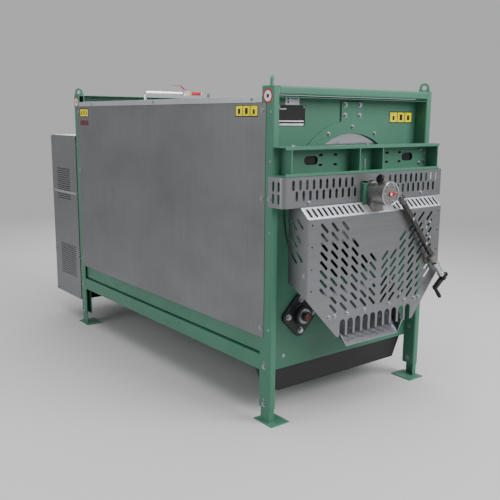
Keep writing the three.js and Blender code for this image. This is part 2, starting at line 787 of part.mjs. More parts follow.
const wormLength = ballJoint.distanceTo(wormCap);
const ballRadius = 12;
function wormShaft() {
  const ball = arc(0, wormLength, ballRadius, -42, 90, 6).map(([r, s]) => [Math.max(r, 0), s]);
  ball[ball.length - 1] = [0, wormLength + ballRadius];
  const profile = [
    [0, 6], [8, 6], [8, 34], [10.7, 34], [10.7, 76], [8, 76],
    ...ball,
  ];
  return turnedAlong(profile, wormCap, wormAxis, 16);
}

// The rod takes the ball in a cup, runs as a square tube and ends in a round sleeve.
const rodLength = crankCentre.distanceTo(ballJoint);
const crankSide = new THREE.Vector3(-crankAxis.z, 0, crankAxis.x).normalize().negate();
const crankOut = new THREE.Vector3().crossVectors(crankAxis, crankSide);

// A four-sided outline of (side, out) points across the rod, carried along it.
function prismAlongRod(origin, outline, from, to) {
  const ringAt = (along) => outline.map(([side, out]) => setOut(origin, crankAxis, along, crankSide, side)
    .addScaledVector(crankOut, out).toArray());
  return sixSided(ringAt(from), ringAt(to));
}

const rodHalf = 11;
const squareEnd = 398;
const sleeveStart = 452;
const sleeveRadius = 16;
function crankRod() {
  const outline = [[-rodHalf, -rodHalf], [rodHalf, -rodHalf], [rodHalf, rodHalf], [-rodHalf, rodHalf]];
  const square = prismAlongRod(ballJoint, outline, 30, squareEnd);
  const cup = turnedAlong([[0, -6], [20, -6], [20, 30], [14, 42], [0, 42]], ballJoint, crankAxis, 16);
  const pocket = turnedAlong([[0, -20], [14, -20], [14, 8], [8, 16], [0, 16]], ballJoint, crankAxis, 16);
  const shaft = turnedAlong([
    [0, 390], [10, 390], [10, sleeveStart], [sleeveRadius, sleeveStart + 8],
    [sleeveRadius, rodLength - 14], [0, rodLength - 14],
  ], ballJoint, crankAxis, 16);
  return square.add(cup).add(shaft).subtract(pocket);
}

const armHalf = 9;
const armTail = 32;
function crankArm() {
  const boss = turnedAlong([
    [0, -12], [17, -12], [17, armHalf + 2], [0, armHalf + 2],
  ], crankCentre, crankAxis, 20);
  const tip = setOut(crankCentre, crankSide, crankThrow);
  const tipBoss = turnedAlong([[0, -armHalf], [12, -armHalf], [12, armHalf], [0, armHalf]], tip, crankAxis, 16);
  const outline = [[-armTail, -13], [crankThrow, -11], [crankThrow, 11], [-armTail, 13]];
  return boss.add(tipBoss).add(prismAlongRod(crankCentre, outline, -armHalf, armHalf));
}

function crankGrip() {
  const tip = setOut(crankCentre, crankSide, crankThrow);
  const start = armHalf + clear;
  const profile = [
    [0, start], [8, start], [9.5, start + 10], [11, start + 44], [10, start + 62], [6, start + 68],
    [0, start + 69],
  ];
  return turnedAlong(profile, tip, crankAxis, 16);
}

// A bearing block on the guard's face carries the rod near the crank.
function rodBearing() {
  const centre = setOut(ballJoint, crankAxis, 425);
  const sleeve = bar(setOut(centre, crankAxis, -20), setOut(centre, crankAxis, 20), 23, 20);
  const outline = [[-36, 18], [36, 18], [36, 60], [-36, 60]];
  const foot = prismAlongRod(centre, outline, -18, 18);
  const guardSide = block(850, 1100, -guardFront - clear, 0, 600, 900);
  const bore = bar(setOut(centre, crankAxis, -60), setOut(centre, crankAxis, 60), 10.4, 16);
  return sleeve.add(foot).subtract(guardSide).subtract(bore);
}

addPart('gearbox_housing', gearboxHousing(), castAlloy);
addPart('dial_cover', dialCover(), castAlloy);
addPart('worm_shaft', wormShaft(), brightSteel);
addPart('crank_rod', crankRod(), darkSheet);
addPart('crank_arm', crankArm(), blackPlastic);
addPart('crank_grip', crankGrip(), blackPlastic);
addPart('rod_bearing', rodBearing(), blackCast);

// ---- drive at the rear ----------------------------------------------------------------------
function driveCover() {
  const rear = driveStart + driveLength;
  const outer = block(0, driveWidth, driveStart, rear, driveLow, driveHigh);
  const room = block(skin, driveWidth - skin, driveStart - 10, rear - skin, driveLow + skin, driveHigh - skin);
  return outer.subtract(room);
}

function gearmotor() {
  const gearcase = block(motorX - 80, motorX + 80, 2290, 2420, motorZ - 80, motorZ + 80);
  const motor = barY(motorX, motorZ, 78, 2418, 2580, 28);
  const base = block(motorX - 90, motorX + 90, 2300, 2410, driveLow + skin + clear, motorZ - 75);
  return gearcase.add(motor).add(base);
}

function motorSprockets() {
  const first = chainPlane;
  const second = augerChainPlane;
  const profile = [
    [0, first - 8], [15, first - 8], [15, first], [motorSprocket, first],
    [motorSprocket, first + sprocketThick], [15, first + sprocketThick], [15, second],
    [motorSprocket, second], [motorSprocket, second + sprocketThick], [15, second + sprocketThick],
    [15, 2289.6], [0, 2289.6],
  ];
  return turnedY(profile, motorX, motorZ, 20);
}

// A chain drawn as a closed band round two sprockets, touching neither.
function chainLoop(ax, az, aRadius, bx, bz, bRadius, y0, y1) {
  const heading = Math.atan2(bz - az, bx - ax);
  const distance = Math.hypot(bx - ax, bz - az);
  const lean = Math.acos((aRadius - bRadius) / distance);
  const degrees = THREE.MathUtils.radToDeg;
  const wrap = (extra) => {
    const from = degrees(heading + lean);
    const to = degrees(heading - lean);
    const aArc = arc(ax, az, aRadius + extra, from, to + 360, 12);
    const bArc = arc(bx, bz, bRadius + extra, to, from, 12);
    return [...aArc, ...bArc];
  };
  return prismY(wrap(8), y0, y1).subtract(prismY(wrap(2), y0 - 5, y1 + 5));
}

addPart('drive_cover', driveCover(), sheetSteel);
addPart('gearmotor', gearmotor(), motorPaint);
addPart('motor_sprockets', motorSprockets(), brightSteel);
addPart('drive_chain', chainLoop(
  motorX, motorZ, motorSprocket, drumX - rollerX, rollerZ, roadSprocket, chainPlane + 1, chainPlane + 9,
), darkSheet);
addPart('auger_chain', chainLoop(
  motorX, motorZ, motorSprocket, troughX, troughZ, augerSprocket, augerChainPlane + 1, augerChainPlane + 9,
), darkSheet);

// ---- air line on the roof -------------------------------------------------------------------
const pipeY = 1430;
const pipeZ = 1625;
const pipeRadius = 10;
const valveX = 441;
function airPipe() {
  const riser = 152;
  const bend = 22;
  const route = new THREE.CurvePath();
  const low = new THREE.Vector3(riser, pipeY, coverTop + clear);
  const bendStart = new THREE.Vector3(riser, pipeY, pipeZ - bend);
  const corner = new THREE.Vector3(riser, pipeY, pipeZ);
  const bendEnd = new THREE.Vector3(riser + bend, pipeY, pipeZ);
  route.add(new THREE.LineCurve3(low, bendStart));
  route.add(new THREE.QuadraticBezierCurve3(bendStart, corner, bendEnd));
  route.add(new THREE.LineCurve3(bendEnd, new THREE.Vector3(valveX - 18, pipeY, pipeZ)));
  const section = shapeOf(arc(0, 0, pipeRadius, 0, 324, 9));
  const tube = solidOf(new THREE.ExtrudeGeometry(section, { steps: 24, extrudePath: route }));
  const flange = block(riser - 18, riser + 18, pipeY - 18, pipeY + 18, coverTop + clear, coverTop + 6);
  const body = block(valveX - 20, valveX + 20, pipeY - 15, pipeY + 15, pipeZ - 15, pipeZ + 13);
  const stem = bar(new THREE.Vector3(valveX, pipeY, pipeZ), new THREE.Vector3(valveX, pipeY, 1645.6), 6, 12);
  const tail = bar(new THREE.Vector3(valveX, pipeY, pipeZ), new THREE.Vector3(566, pipeY, pipeZ), 8, 12);
  return tube.add(flange).add(body).add(stem).add(tail);
}

function valveLever() {
  return prismY([
    [453, 1646], [453, 1650], [436, 1650], [409, 1673], [350, 1673], [350, 1669], [407, 1669], [434, 1646],
  ], pipeY - 7, pipeY + 7);
}

addPart('air_pipe', airPipe(), brightSteel);
addPart('valve_lever', valveLever(), redPlastic);

export default machine;
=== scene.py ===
import math

import bmesh
import bpy
from mathutils import Matrix, Vector


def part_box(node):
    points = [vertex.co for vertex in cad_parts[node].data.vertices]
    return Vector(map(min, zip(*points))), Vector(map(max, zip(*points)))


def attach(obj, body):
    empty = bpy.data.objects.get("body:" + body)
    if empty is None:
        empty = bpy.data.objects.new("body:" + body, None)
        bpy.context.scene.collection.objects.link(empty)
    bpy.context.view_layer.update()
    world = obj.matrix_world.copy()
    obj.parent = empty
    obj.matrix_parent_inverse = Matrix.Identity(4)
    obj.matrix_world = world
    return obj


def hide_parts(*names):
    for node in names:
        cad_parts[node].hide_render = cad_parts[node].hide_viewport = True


bl_info = {
    "name": "Drum grain separator",
    "version": (1, 0, 0),
    "blender": (4, 5, 0),
    "location": "3D View > Sidebar > Separator",
    "description": "Dresses the separator's frame, guards, crank and drive with finished pieces",
    "category": "Object",
}

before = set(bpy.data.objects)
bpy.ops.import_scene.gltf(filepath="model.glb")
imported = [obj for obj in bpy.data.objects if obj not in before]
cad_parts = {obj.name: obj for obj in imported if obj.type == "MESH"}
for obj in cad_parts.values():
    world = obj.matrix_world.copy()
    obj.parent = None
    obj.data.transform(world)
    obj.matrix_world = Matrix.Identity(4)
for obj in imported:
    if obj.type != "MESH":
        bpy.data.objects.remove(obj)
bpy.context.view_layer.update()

# Machine millimetres: x from the left outer face, y from the front posts' face, z from the floor.
LEFT_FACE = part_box("post_front_left")[0].x
FRONT_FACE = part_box("post_front_left")[0].y
WIDTH = round((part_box("post_front_right")[1].x - LEFT_FACE) * 1000)
LENGTH = round((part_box("post_rear_left")[1].y - FRONT_FACE) * 1000)
TAU = 2 * math.pi


def spot(x, y, z):
    """A machine point, in the frame's metres."""
    return Vector((LEFT_FACE + x / 1000, FRONT_FACE + y / 1000, z / 1000))


def spot_x(metres):
    return (metres - LEFT_FACE) * 1000


def spot_y(metres):
    return (metres - FRONT_FACE) * 1000


# ---------------------------------------------------------------- finishes


def add(tree, kind, **values):
    """A node, with its input sockets set by name."""
    node = tree.nodes.new(kind)
    for name, value in values.items():
        node.inputs[name.replace("_", " ")].default_value = value
    return node


def grain(tree, scale, stretch=(1, 1, 1), detail=3.0, rough=0.55):
    """Noise on object coordinates, stretched to run along a direction."""
    place = tree.nodes.new("ShaderNodeTexCoord")
    turn = add(tree, "ShaderNodeMapping", Scale=stretch)
    noise = add(tree, "ShaderNodeTexNoise", Scale=scale, Detail=detail, Roughness=rough)
    tree.links.new(place.outputs["Object"], turn.inputs["Vector"])
    tree.links.new(turn.outputs["Vector"], noise.inputs["Vector"])
    return noise.outputs["Fac"]


def spread(tree, source, low, high, start=0.3, end=0.7):
    """A value spread between two limits."""
    node = add(tree, "ShaderNodeMapRange")
    node.inputs["From Min"].default_value = start
    node.inputs["From Max"].default_value = end
    node.inputs["To Min"].default_value = low
    node.inputs["To Max"].default_value = high
    tree.links.new(source, node.inputs["Value"])
    return node.outputs["Result"]


def blended(tree, factor, first, second):
    """Two colours mixed by a factor; either may be a socket."""
    node = tree.nodes.new("ShaderNodeMix")
    node.data_type = "RGBA"
    tree.links.new(factor, node.inputs["Factor"])
    for name, colour in (("A", first), ("B", second)):
        socket = [s for s in node.inputs if s.name == name and s.type == "RGBA"][0]
        if isinstance(colour, bpy.types.NodeSocket):
            tree.links.new(colour, socket)
        else:
            socket.default_value = (*colour, 1.0)
    return [s for s in node.outputs if s.type == "RGBA"][0]


def bumped(tree, height, strength, distance, below=None):
    node = add(tree, "ShaderNodeBump", Strength=strength, Distance=distance)
    tree.links.new(height, node.inputs["Height"])
    if below is not None:
        tree.links.new(below, node.inputs["Normal"])
    return node.outputs["Normal"]


FINISH_MARK = "_finish"


def new_finish(name, metallic, specular=0.5):
    material = bpy.data.materials.new(name + FINISH_MARK)
    material.use_nodes = True
    shader = material.node_tree.nodes["Principled BSDF"]
    shader.inputs["Metallic"].default_value = metallic
    shader.inputs["Specular IOR Level"].default_value = specular
    return material, material.node_tree, shader


def shaded(colour, factor):
    return tuple(min(1.0, c * factor) for c in colour)


def paint_finish(name, colour, rough=(0.36, 0.5), dust=(0.12, 0.13, 0.12), worn=False):
    """Sprayed paint over steel: orange peel, faint cloudiness, dust and small chips."""
    material, tree, shader = new_finish(name, 0.0, 0.35)
    cloud = spread(tree, grain(tree, 2.2, detail=4.0), 0.0, 1.0)
    base = blended(tree, cloud, shaded(colour, 0.9), shaded(colour, 1.08))
    film = spread(tree, grain(tree, 14.0, (1, 1, 0.35), 6.0, 0.7), 0.0, 0.2, 0.48, 0.78)
    base = blended(tree, film, base, dust)
    rare = 0.62 if worn else 0.75
    chips = spread(tree, grain(tree, 95.0, detail=2.0), 0.0, 0.9, rare, rare + 0.04)
    base = blended(tree, chips, base, shaded(colour, 1.6) if worn else (0.07, 0.08, 0.07))
    tree.links.new(base, shader.inputs["Base Color"])
    tree.links.new(spread(tree, grain(tree, 30.0, detail=4.0), *rough), shader.inputs["Roughness"])
    peel = bumped(tree, grain(tree, 420.0, detail=1.0), 0.25, 0.0004)
    shallow = bumped(tree, grain(tree, 3.0, detail=1.0), 0.3, 0.002, peel)
    tree.links.new(shallow, shader.inputs["Normal"])
    return material


def sheet_finish(name, colour, rough=(0.3, 0.44), along=(70, 70, 1.1), waves=0.35, stain=0.35, metallic=0.92):
    """Rolled and zinc-coated sheet: mill streaks, soft stains and a slight unevenness."""
    material, tree, shader = new_finish(name, metallic)
    streak = grain(tree, 1.6, along, 5.0, 0.65)
    base = blended(tree, spread(tree, streak, 0.0, 1.0), shaded(colour, 0.93), shaded(colour, 1.06))
    patch = spread(tree, grain(tree, 1.7, (1, 1, 1.6), 4.0, 0.6), 0.0, stain, 0.4, 0.72)
    base = blended(tree, patch, base, shaded(colour, 0.62))
    tree.links.new(base, shader.inputs["Base Color"])
    fine = grain(tree, 5.0, along, 3.0)
    tree.links.new(spread(tree, fine, *rough), shader.inputs["Roughness"])
    hair = bumped(tree, fine, 0.12, 0.0003)
    wave = bumped(tree, grain(tree, 1.3, detail=2.0), waves, 0.006, hair)
    tree.links.new(wave, shader.inputs["Normal"])
    shader.inputs["Anisotropic"].default_value = 0.3
    return material


def cast_finish(name, colour, metallic, rough=(0.45, 0.7), depth=0.0012, dirt=(0.05, 0.05, 0.05)):
    """Sand-cast metal: pitted skin with dirt in the hollows."""
    material, tree, shader = new_finish(name, metallic)
    pits = grain(tree, 160.0, detail=5.0, rough=0.65)
    soot = spread(tree, grain(tree, 38.0, detail=4.0), 0.0, 0.55, 0.5, 0.75)
    base = blended(tree, spread(tree, pits, 0.0, 1.0), shaded(colour, 0.8), shaded(colour, 1.15))
    base = blended(tree, soot, base, dirt)
    tree.links.new(base, shader.inputs["Base Color"])
    tree.links.new(spread(tree, pits, *rough), shader.inputs["Roughness"])
    tree.links.new(bumped(tree, pits, 0.6, depth), shader.inputs["Normal"])
    return material


def plastic_finish(name, colour, rough=(0.35, 0.5), texture=380.0):
    """Moulded plastic or rubber with a fine spark-eroded texture."""
    material, tree, shader = new_finish(name, 0.0, 0.3)
    mottle = spread(tree, grain(tree, 12.0, detail=3.0), 0.0, 1.0)
    base = blended(tree, mottle, shaded(colour, 0.85), shaded(colour, 1.2))
    tree.links.new(base, shader.inputs["Base Color"])
    tree.links.new(spread(tree, grain(tree, 60.0), *rough), shader.inputs["Roughness"])
    tree.links.new(bumped(tree, grain(tree, texture, detail=1.0), 0.25, 0.0003), shader.inputs["Normal"])
    return material


def rust_finish(name):
    """Bare shaft steel with a brown skin of rust."""
    material, tree, shader = new_finish(name, 0.35)
    bloom = spread(tree, grain(tree, 110.0, detail=6.0, rough=0.7), 0.0, 1.0, 0.35, 0.6)
    base = blended(tree, bloom, (0.19, 0.10, 0.07), (0.10, 0.035, 0.02))
    tree.links.new(base, shader.inputs["Base Color"])
    tree.links.new(spread(tree, bloom, 0.45, 0.8, 0.0, 1.0), shader.inputs["Roughness"])
    tree.links.new(bumped(tree, bloom, 0.4, 0.0005), shader.inputs["Normal"])
    return material


def studded_finish(name, colour):
    """Drum wall: rows of pressed cells over rolled sheet."""
    material, tree, shader = new_finish(name, 0.9)
    place = tree.nodes.new("ShaderNodeTexCoord")
    cells = add(tree, "ShaderNodeTexVoronoi", Scale=95.0, Randomness=0.15)
    tree.links.new(place.outputs["Object"], cells.inputs["Vector"])
    hollow = spread(tree, cells.outputs["Distance"], 0.0, 1.0, 0.15, 0.42)
    base = blended(tree, hollow, shaded(colour, 0.45), colour)
    tree.links.new(base, shader.inputs["Base Color"])
    tree.links.new(spread(tree, grain(tree, 25.0), 0.32, 0.5), shader.inputs["Roughness"])
    tree.links.new(bumped(tree, hollow, 0.8, 0.002), shader.inputs["Normal"])
    return material


def make_finishes(look):
    """Every finish of the machine, by plain name."""
    green = tuple(look.paint_colour)
    steel = tuple(look.sheet_colour)
    paint_finish("green_paint", green)
    paint_finish("worn_paint", shaded(green, 1.25), worn=True)
    sheet_finish("side_sheet", shaded(steel, 0.78), rough=(0.36, 0.42),
                 along=(1.2, 46, 1.0), waves=0.5, stain=0.5)
    sheet_finish("guard_sheet", shaded(steel, 0.85), rough=(0.34, 0.46),
                 along=(1.3, 60, 60), waves=0.12, stain=0.2)
    # Pale bluish copy of the guard sheet for the hood's upward faces: a painted highlight from the light above.
    sheet_finish("hood_sheet", (0.80, 0.81, 0.88), rough=(0.3, 0.4),
                 along=(1.3, 60, 60), waves=0.1, stain=0.1)
    sheet_finish("cover_sheet", shaded(steel, 0.8), along=(1.2, 50, 1.0), waves=0.3)
    # Roof sheet at twice the sheet colour: painted light on the top cover.
    sheet_finish("roof_sheet", shaded(steel, 2.0), along=(1.2, 50, 1.0), waves=0.2)
    sheet_finish("cut_edge", shaded(steel, 1.6), rough=(0.25, 0.35), waves=0.0, stain=0.0)
    sheet_finish("bright_steel", (0.55, 0.56, 0.60), rough=(0.16, 0.28),
                 along=(1.2, 90, 90), waves=0.1, stain=0.15)
    sheet_finish("chute_sheet", (0.34, 0.35, 0.39), rough=(0.14, 0.22),
                 along=(1.2, 60, 60), waves=0.1, stain=0.3, metallic=1.0)
    # Near-black sheet: on the hopper it is painted shade, standing for grey sheet whose face lies in shadow.
    sheet_finish("dark_sheet", (0.016, 0.016, 0.018), rough=(0.34, 0.5),
                 along=(1.1, 40, 40), waves=0.3, metallic=0.3)
    sheet_finish("rod_steel", (0.13, 0.125, 0.12), rough=(0.2, 0.34), along=(60, 60, 60), waves=0.0)
    sheet_finish("zinc", (0.38, 0.40, 0.43), rough=(0.24, 0.38), along=(200, 200, 200), waves=0.0, stain=0.3)
    sheet_finish("chain_steel", (0.10, 0.095, 0.09), rough=(0.3, 0.5), along=(120, 120, 120), waves=0.0)
    cast_finish("cast_alloy", (0.24, 0.23, 0.22), 0.8, rough=(0.28, 0.5),
                dirt=(0.03, 0.026, 0.022), depth=0.002)
    cast_finish("black_cast", (0.011, 0.012, 0.014), 0.0, rough=(0.35, 0.6), dirt=(0.035, 0.034, 0.03))
    cast_finish("motor_paint", (0.04, 0.07, 0.10), 0.0, rough=(0.35, 0.55), depth=0.0005)
    cast_finish("brass", (0.50, 0.32, 0.12), 0.9, rough=(0.25, 0.4), depth=0.0003)
    plastic_finish("black_plastic", (0.004, 0.004, 0.005))
    plastic_finish("red_plastic", (0.34, 0.008, 0.018), rough=(0.28, 0.4))
    plastic_finish("dull_red", (0.10, 0.018, 0.026), rough=(0.4, 0.5))
    plastic_finish("black_ink", (0.004, 0.004, 0.005), rough=(0.4, 0.5))
    plastic_finish("white_vinyl", (0.60, 0.60, 0.62), rough=(0.3, 0.4), texture=150.0)
    plastic_finish("yellow_vinyl", (0.75, 0.66, 0.0), rough=(0.3, 0.42), texture=150.0)
    plastic_finish("blue_vinyl", (0.02, 0.08, 0.34), rough=(0.3, 0.4))
    rust_finish("rusty_shaft")
    studded_finish("drum_sheet", (0.30, 0.31, 0.32))


def finish(name):
    return bpy.data.materials[name + FINISH_MARK]


# ---------------------------------------------------------------- mesh helpers

AXES = {
    "X": lambda a, b, t: spot(t, a, b),
    "Y": lambda a, b, t: spot(a, t, b),
    "Z": lambda a, b, t: spot(a, b, t),
}


def mesh_of(build, name):
    """Closes a bmesh into mesh data with its faces turned outwards."""
    bmesh.ops.remove_doubles(build, verts=build.verts, dist=1e-6)
    bmesh.ops.recalc_face_normals(build, faces=build.faces)
    mesh = bpy.data.meshes.new(name)
    build.to_mesh(mesh)
    build.free()
    return mesh


def piece(name, mesh, material):
    thing = bpy.data.objects.new(name, mesh)
    bpy.context.scene.collection.objects.link(thing)
    mesh.materials.clear()
    mesh.materials.append(finish(material))
    return thing


def settle(thing):
    """Turns a piece with modifiers into a plain mesh."""
    graph = bpy.context.evaluated_depsgraph_get()
    mesh = bpy.data.meshes.new_from_object(thing.evaluated_get(graph), depsgraph=graph)
    thing.modifiers.clear()
    thing.data = mesh
    return thing


def rounded(thing, width=0.8, segments=2, angle=35, worn=False):
    """Breaks sharp edges, and shades flats flat and bends smooth."""
    bevel = thing.modifiers.new("broken edges", "BEVEL")
    bevel.width = width / 1000
    bevel.segments = segments
    bevel.limit_method = "ANGLE"
    bevel.angle_limit = math.radians(angle)
    bevel.use_clamp_overlap = True
    if worn:
        thing.data.materials.append(finish("worn_paint"))
        bevel.material = len(thing.data.materials) - 1
    settle(thing)
    return soft(thing)


def soft(thing, angle=38):
    """Smooth shading up to an angle, with large faces kept flat."""
    thing.data.shade_smooth()
    thing.data.set_sharp_from_angle(angle=math.radians(angle))
    even = thing.modifiers.new("even shading", "WEIGHTED_NORMAL")
    even.keep_sharp = True
    return settle(thing)


def prism(points, axis, start, end):
    """A closed outline carried along an axis."""
    build = bmesh.new()
    rings = [[build.verts.new(AXES[axis](a, b, t)) for a, b in points] for t in (start, end)]
    build.faces.new(rings[0])
    build.faces.new(reversed(rings[1]))
    count = len(points)
    for i in range(count):
        j = (i + 1) % count
        build.faces.new((rings[0][i], rings[1][i], rings[1][j], rings[0][j]))
    return build


def slab(x0, x1, y0, y1, z0, z1):
    return prism([(x0, y0), (x1, y0), (x1, y1), (x0, y1)], "Z", z0, z1)


def joined(*builds):
    """Several closed shells in one mesh."""
    whole = bmesh.new()
    for build in builds:
        scrap = bpy.data.meshes.new("part")
        bmesh.ops.recalc_face_normals(build, faces=build.faces)
        build.to_mesh(scrap)
        build.free()
        whole.from_mesh(scrap)
        bpy.data.meshes.remove(scrap)
    return whole


def fold_line(path, radius, steps=4):
    """Points and normals along a folded sheet's middle line, with rounded bends."""
    bends = radius if isinstance(radius, tuple) else (radius,) * len(path)
    line = []
    last = len(path) - 1
    for i, corner in enumerate(path):
        here = Vector(corner)
        if i in (0, last):
            near = Vector(path[1]) - here if i == 0 else here - Vector(path[last - 1])
            heading = near.normalized()
            line.append((here, Vector((-heading.y, heading.x))))
            continue
        into = (here - Vector(path[i - 1])).normalized()
        out = (Vector(path[i + 1]) - here).normalized()
        turn = into.angle_signed(out) * -1
        radius = bends[i]
        reach = radius * math.tan(abs(turn) / 2)
        begin = here - into * reach
        side = 1 if turn > 0 else -1
        centre = begin + Vector((-into.y, into.x)) * radius * side
        for step in range(steps + 1):
            angle = turn * step / steps
            spin = Matrix.Rotation(angle, 2)
            line.append((centre + spin @ (begin - centre), spin @ Vector((-into.y, into.x))))
    return line


def folded(path, thick, axis, start, end, radius=6.0):
    """A folded sheet: a middle line given a thickness and carried along an axis."""
    line = fold_line(path, radius)
    build = bmesh.new()
    rings = []
    for t in (start, end):
        left = [build.verts.new(AXES[axis](*(p + n * thick / 2), t)) for p, n in line]
        right = [build.verts.new(AXES[axis](*(p - n * thick / 2), t)) for p, n in line]
        rings.append((left, right))
    (l0, r0), (l1, r1) = rings
    for i in range(len(line) - 1):
        build.faces.new((l0[i], l0[i + 1], r0[i + 1], r0[i]))
        build.faces.new((l1[i], r1[i], r1[i + 1], l1[i + 1]))
        build.faces.new((l0[i], l1[i], l1[i + 1], l0[i + 1]))
        build.faces.new((r0[i], r0[i + 1], r1[i + 1], r1[i]))
    build.faces.new((l0[0], r0[0], r1[0], l1[0]))
    build.faces.new((l0[-1], l1[-1], r1[-1], r0[-1]))
    return build


def turned(profile, origin, axis, segments=32):
    """A turned piece: (radius, distance) pairs about an axis, in millimetres."""
    axis = Vector(axis).normalized()
    side = axis.orthogonal().normalized()
    over = axis.cross(side)
    build = bmesh.new()
    rings = []
    for radius, along in profile:
        middle = spot(*origin) + axis * along / 1000
        if radius < 1e-6:
            rings.append([build.verts.new(middle)])
            continue
        angles = [TAU * i / segments for i in range(segments)]
        rings.append([
            build.verts.new(middle + (side * math.cos(a) + over * math.sin(a)) * radius / 1000) for a in angles
        ])
    for low, high in zip(rings, rings[1:]):
        for i in range(segments):
            j = (i + 1) % segments
            corners = [low[i % len(low)], low[j % len(low)], high[j % len(high)], high[i % len(high)]]
            distinct = list(dict.fromkeys(corners))
            if len(distinct) > 2:
                build.faces.new(distinct)
    return build


def copy_of(node):
    """A merged copy of a CAD node's mesh."""
    build = bmesh.new()
    build.from_mesh(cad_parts[node].data)
    bmesh.ops.remove_doubles(build, verts=build.verts, dist=1e-6)
    bmesh.ops.dissolve_limit(build, angle_limit=math.radians(0.5), verts=build.verts, edges=build.edges)
    mesh = bpy.data.meshes.new(node)
    build.to_mesh(mesh)
    build.free()
    return mesh


def hold(thing, body, slot, *nodes):
    """A finished piece rides on its body and may stand for CAD nodes; its slot is not used."""
    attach(thing, body)
    if nodes:
        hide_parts(*nodes)
    return thing


def dressed(node, body, slot, material, width=0.8, segments=2, worn=False, angle=35):
    """A CAD node's copy with broken edges and a finish of its own."""
    thing = piece(node + "_finished", copy_of(node), material)
    rounded(thing, width, segments, angle, worn)
    return hold(thing, body, slot, node)


def cut(thing, *cutters, keep="DIFFERENCE"):
    """Cuts closed shells out of a piece."""
    for build in cutters:
        cutter = bpy.data.objects.new("cutter", mesh_of(build, "cutter"))
        bpy.context.scene.collection.objects.link(cutter)
        step = thing.modifiers.new("cut", "BOOLEAN")
        step.operation = keep
        step.solver = "EXACT"
        step.object = cutter
        settle(thing)
        bpy.data.objects.remove(cutter)
    return thing


# ---------------------------------------------------------------- geometry nodes


def new_tree(name, *inputs):
    """A geometry node group with a geometry input and named inputs for its sizes."""
    tree = bpy.data.node_groups.new(name, "GeometryNodeTree")
    tree.interface.new_socket("Geometry", in_out="INPUT", socket_type="NodeSocketGeometry")
    for label, kind, value in inputs:
        socket = tree.interface.new_socket(label, in_out="INPUT", socket_type=kind)
        if value is not None:
            socket.default_value = value
    tree.interface.new_socket("Geometry", in_out="OUTPUT", socket_type="NodeSocketGeometry")
    return tree, tree.nodes.new("NodeGroupInput"), tree.nodes.new("NodeGroupOutput")


def wire(tree, *pairs):
    for source, target in pairs:
        tree.links.new(source, target)


def sum_of(tree, operation, first, second):
    """A small calculation on two sockets or numbers."""
    node = tree.nodes.new("ShaderNodeMath")
    node.operation = operation
    for socket, value in zip(node.inputs, (first, second)):
        if isinstance(value, bpy.types.NodeSocket):
            tree.links.new(value, socket)
        else:
            socket.default_value = value
    return node.outputs[0]


def vector_of(tree, x=None, y=None, z=None):
    node = tree.nodes.new("ShaderNodeCombineXYZ")
    for socket, value in zip(node.inputs, (x, y, z)):
        if value is not None:
            tree.links.new(value, socket)
    return node.outputs[0]


def stored(tree, name, kind):
    """A value stored on each place."""
    node = tree.nodes.new("GeometryNodeInputNamedAttribute")
    node.data_type = kind
    node.inputs["Name"].default_value = name
    return [s for s in node.outputs if s.name == "Attribute" and s.enabled][0]


def turned_places(tree):
    """The stored turn of each place, as a rotation."""
    spin = tree.nodes.new("FunctionNodeEulerToRotation")
    tree.links.new(stored(tree, "turn", "FLOAT_VECTOR"), spin.inputs["Euler"])
    return spin.outputs["Rotation"]


def coated(tree, source, shape, result):
    """Ends a tree with plain geometry in the tree's material."""
    real = tree.nodes.new("GeometryNodeRealizeInstances")
    coat = tree.nodes.new("GeometryNodeSetMaterial")
    wire(tree, (shape, real.inputs[0]), (real.outputs[0], coat.inputs["Geometry"]),
         (source.outputs["Material"], coat.inputs["Material"]), (coat.outputs[0], result.inputs[0]))
    return tree


def punch_tree():
    """Round-ended holes punched through a sheet at stored places."""
    tree, source, result = new_tree(
        "punched holes",
        ("Places", "NodeSocketObject", None),
        ("Length", "NodeSocketFloat", 0.04),
        ("Width", "NodeSocketFloat", 0.01),
        ("Depth", "NodeSocketFloat", 0.02),
        ("Material", "NodeSocketMaterial", None),
    )
    places = tree.nodes.new("GeometryNodeObjectInfo")
    radius = sum_of(tree, "MULTIPLY", source.outputs["Width"], 0.5)
    half = sum_of(tree, "MULTIPLY", source.outputs["Length"], 0.5)
    reach = sum_of(tree, "SUBTRACT", half, radius)
    back = sum_of(tree, "MULTIPLY", reach, -1.0)
    disc = tree.nodes.new("GeometryNodeMeshCylinder")
    disc.inputs["Vertices"].default_value = 12
    join = tree.nodes.new("GeometryNodeJoinGeometry")
    for offset in (reach, back):
        move = tree.nodes.new("GeometryNodeTransform")
        wire(tree, (disc.outputs["Mesh"], move.inputs["Geometry"]),
             (vector_of(tree, x=offset), move.inputs["Translation"]), (move.outputs[0], join.inputs[0]))
    hull = tree.nodes.new("GeometryNodeConvexHull")
    copies = tree.nodes.new("GeometryNodeInstanceOnPoints")
    real = tree.nodes.new("GeometryNodeRealizeInstances")
    punch = tree.nodes.new("GeometryNodeMeshBoolean")
    punch.operation = "DIFFERENCE"
    punch.solver = "MANIFOLD"
    wire(
        tree,
        (source.outputs["Places"], places.inputs["Object"]),
        (radius, disc.inputs["Radius"]),
        (source.outputs["Depth"], disc.inputs["Depth"]),
        (join.outputs[0], hull.inputs[0]),
        (places.outputs["Geometry"], copies.inputs["Points"]),
        (hull.outputs[0], copies.inputs["Instance"]),
        (turned_places(tree), copies.inputs["Rotation"]),
        (copies.outputs[0], real.inputs[0]),
        (source.outputs["Geometry"], punch.inputs["Mesh 1"]),
        (real.outputs[0], punch.inputs["Mesh 2"]),
    )
    return coated(tree, source, punch.outputs["Mesh"], result)


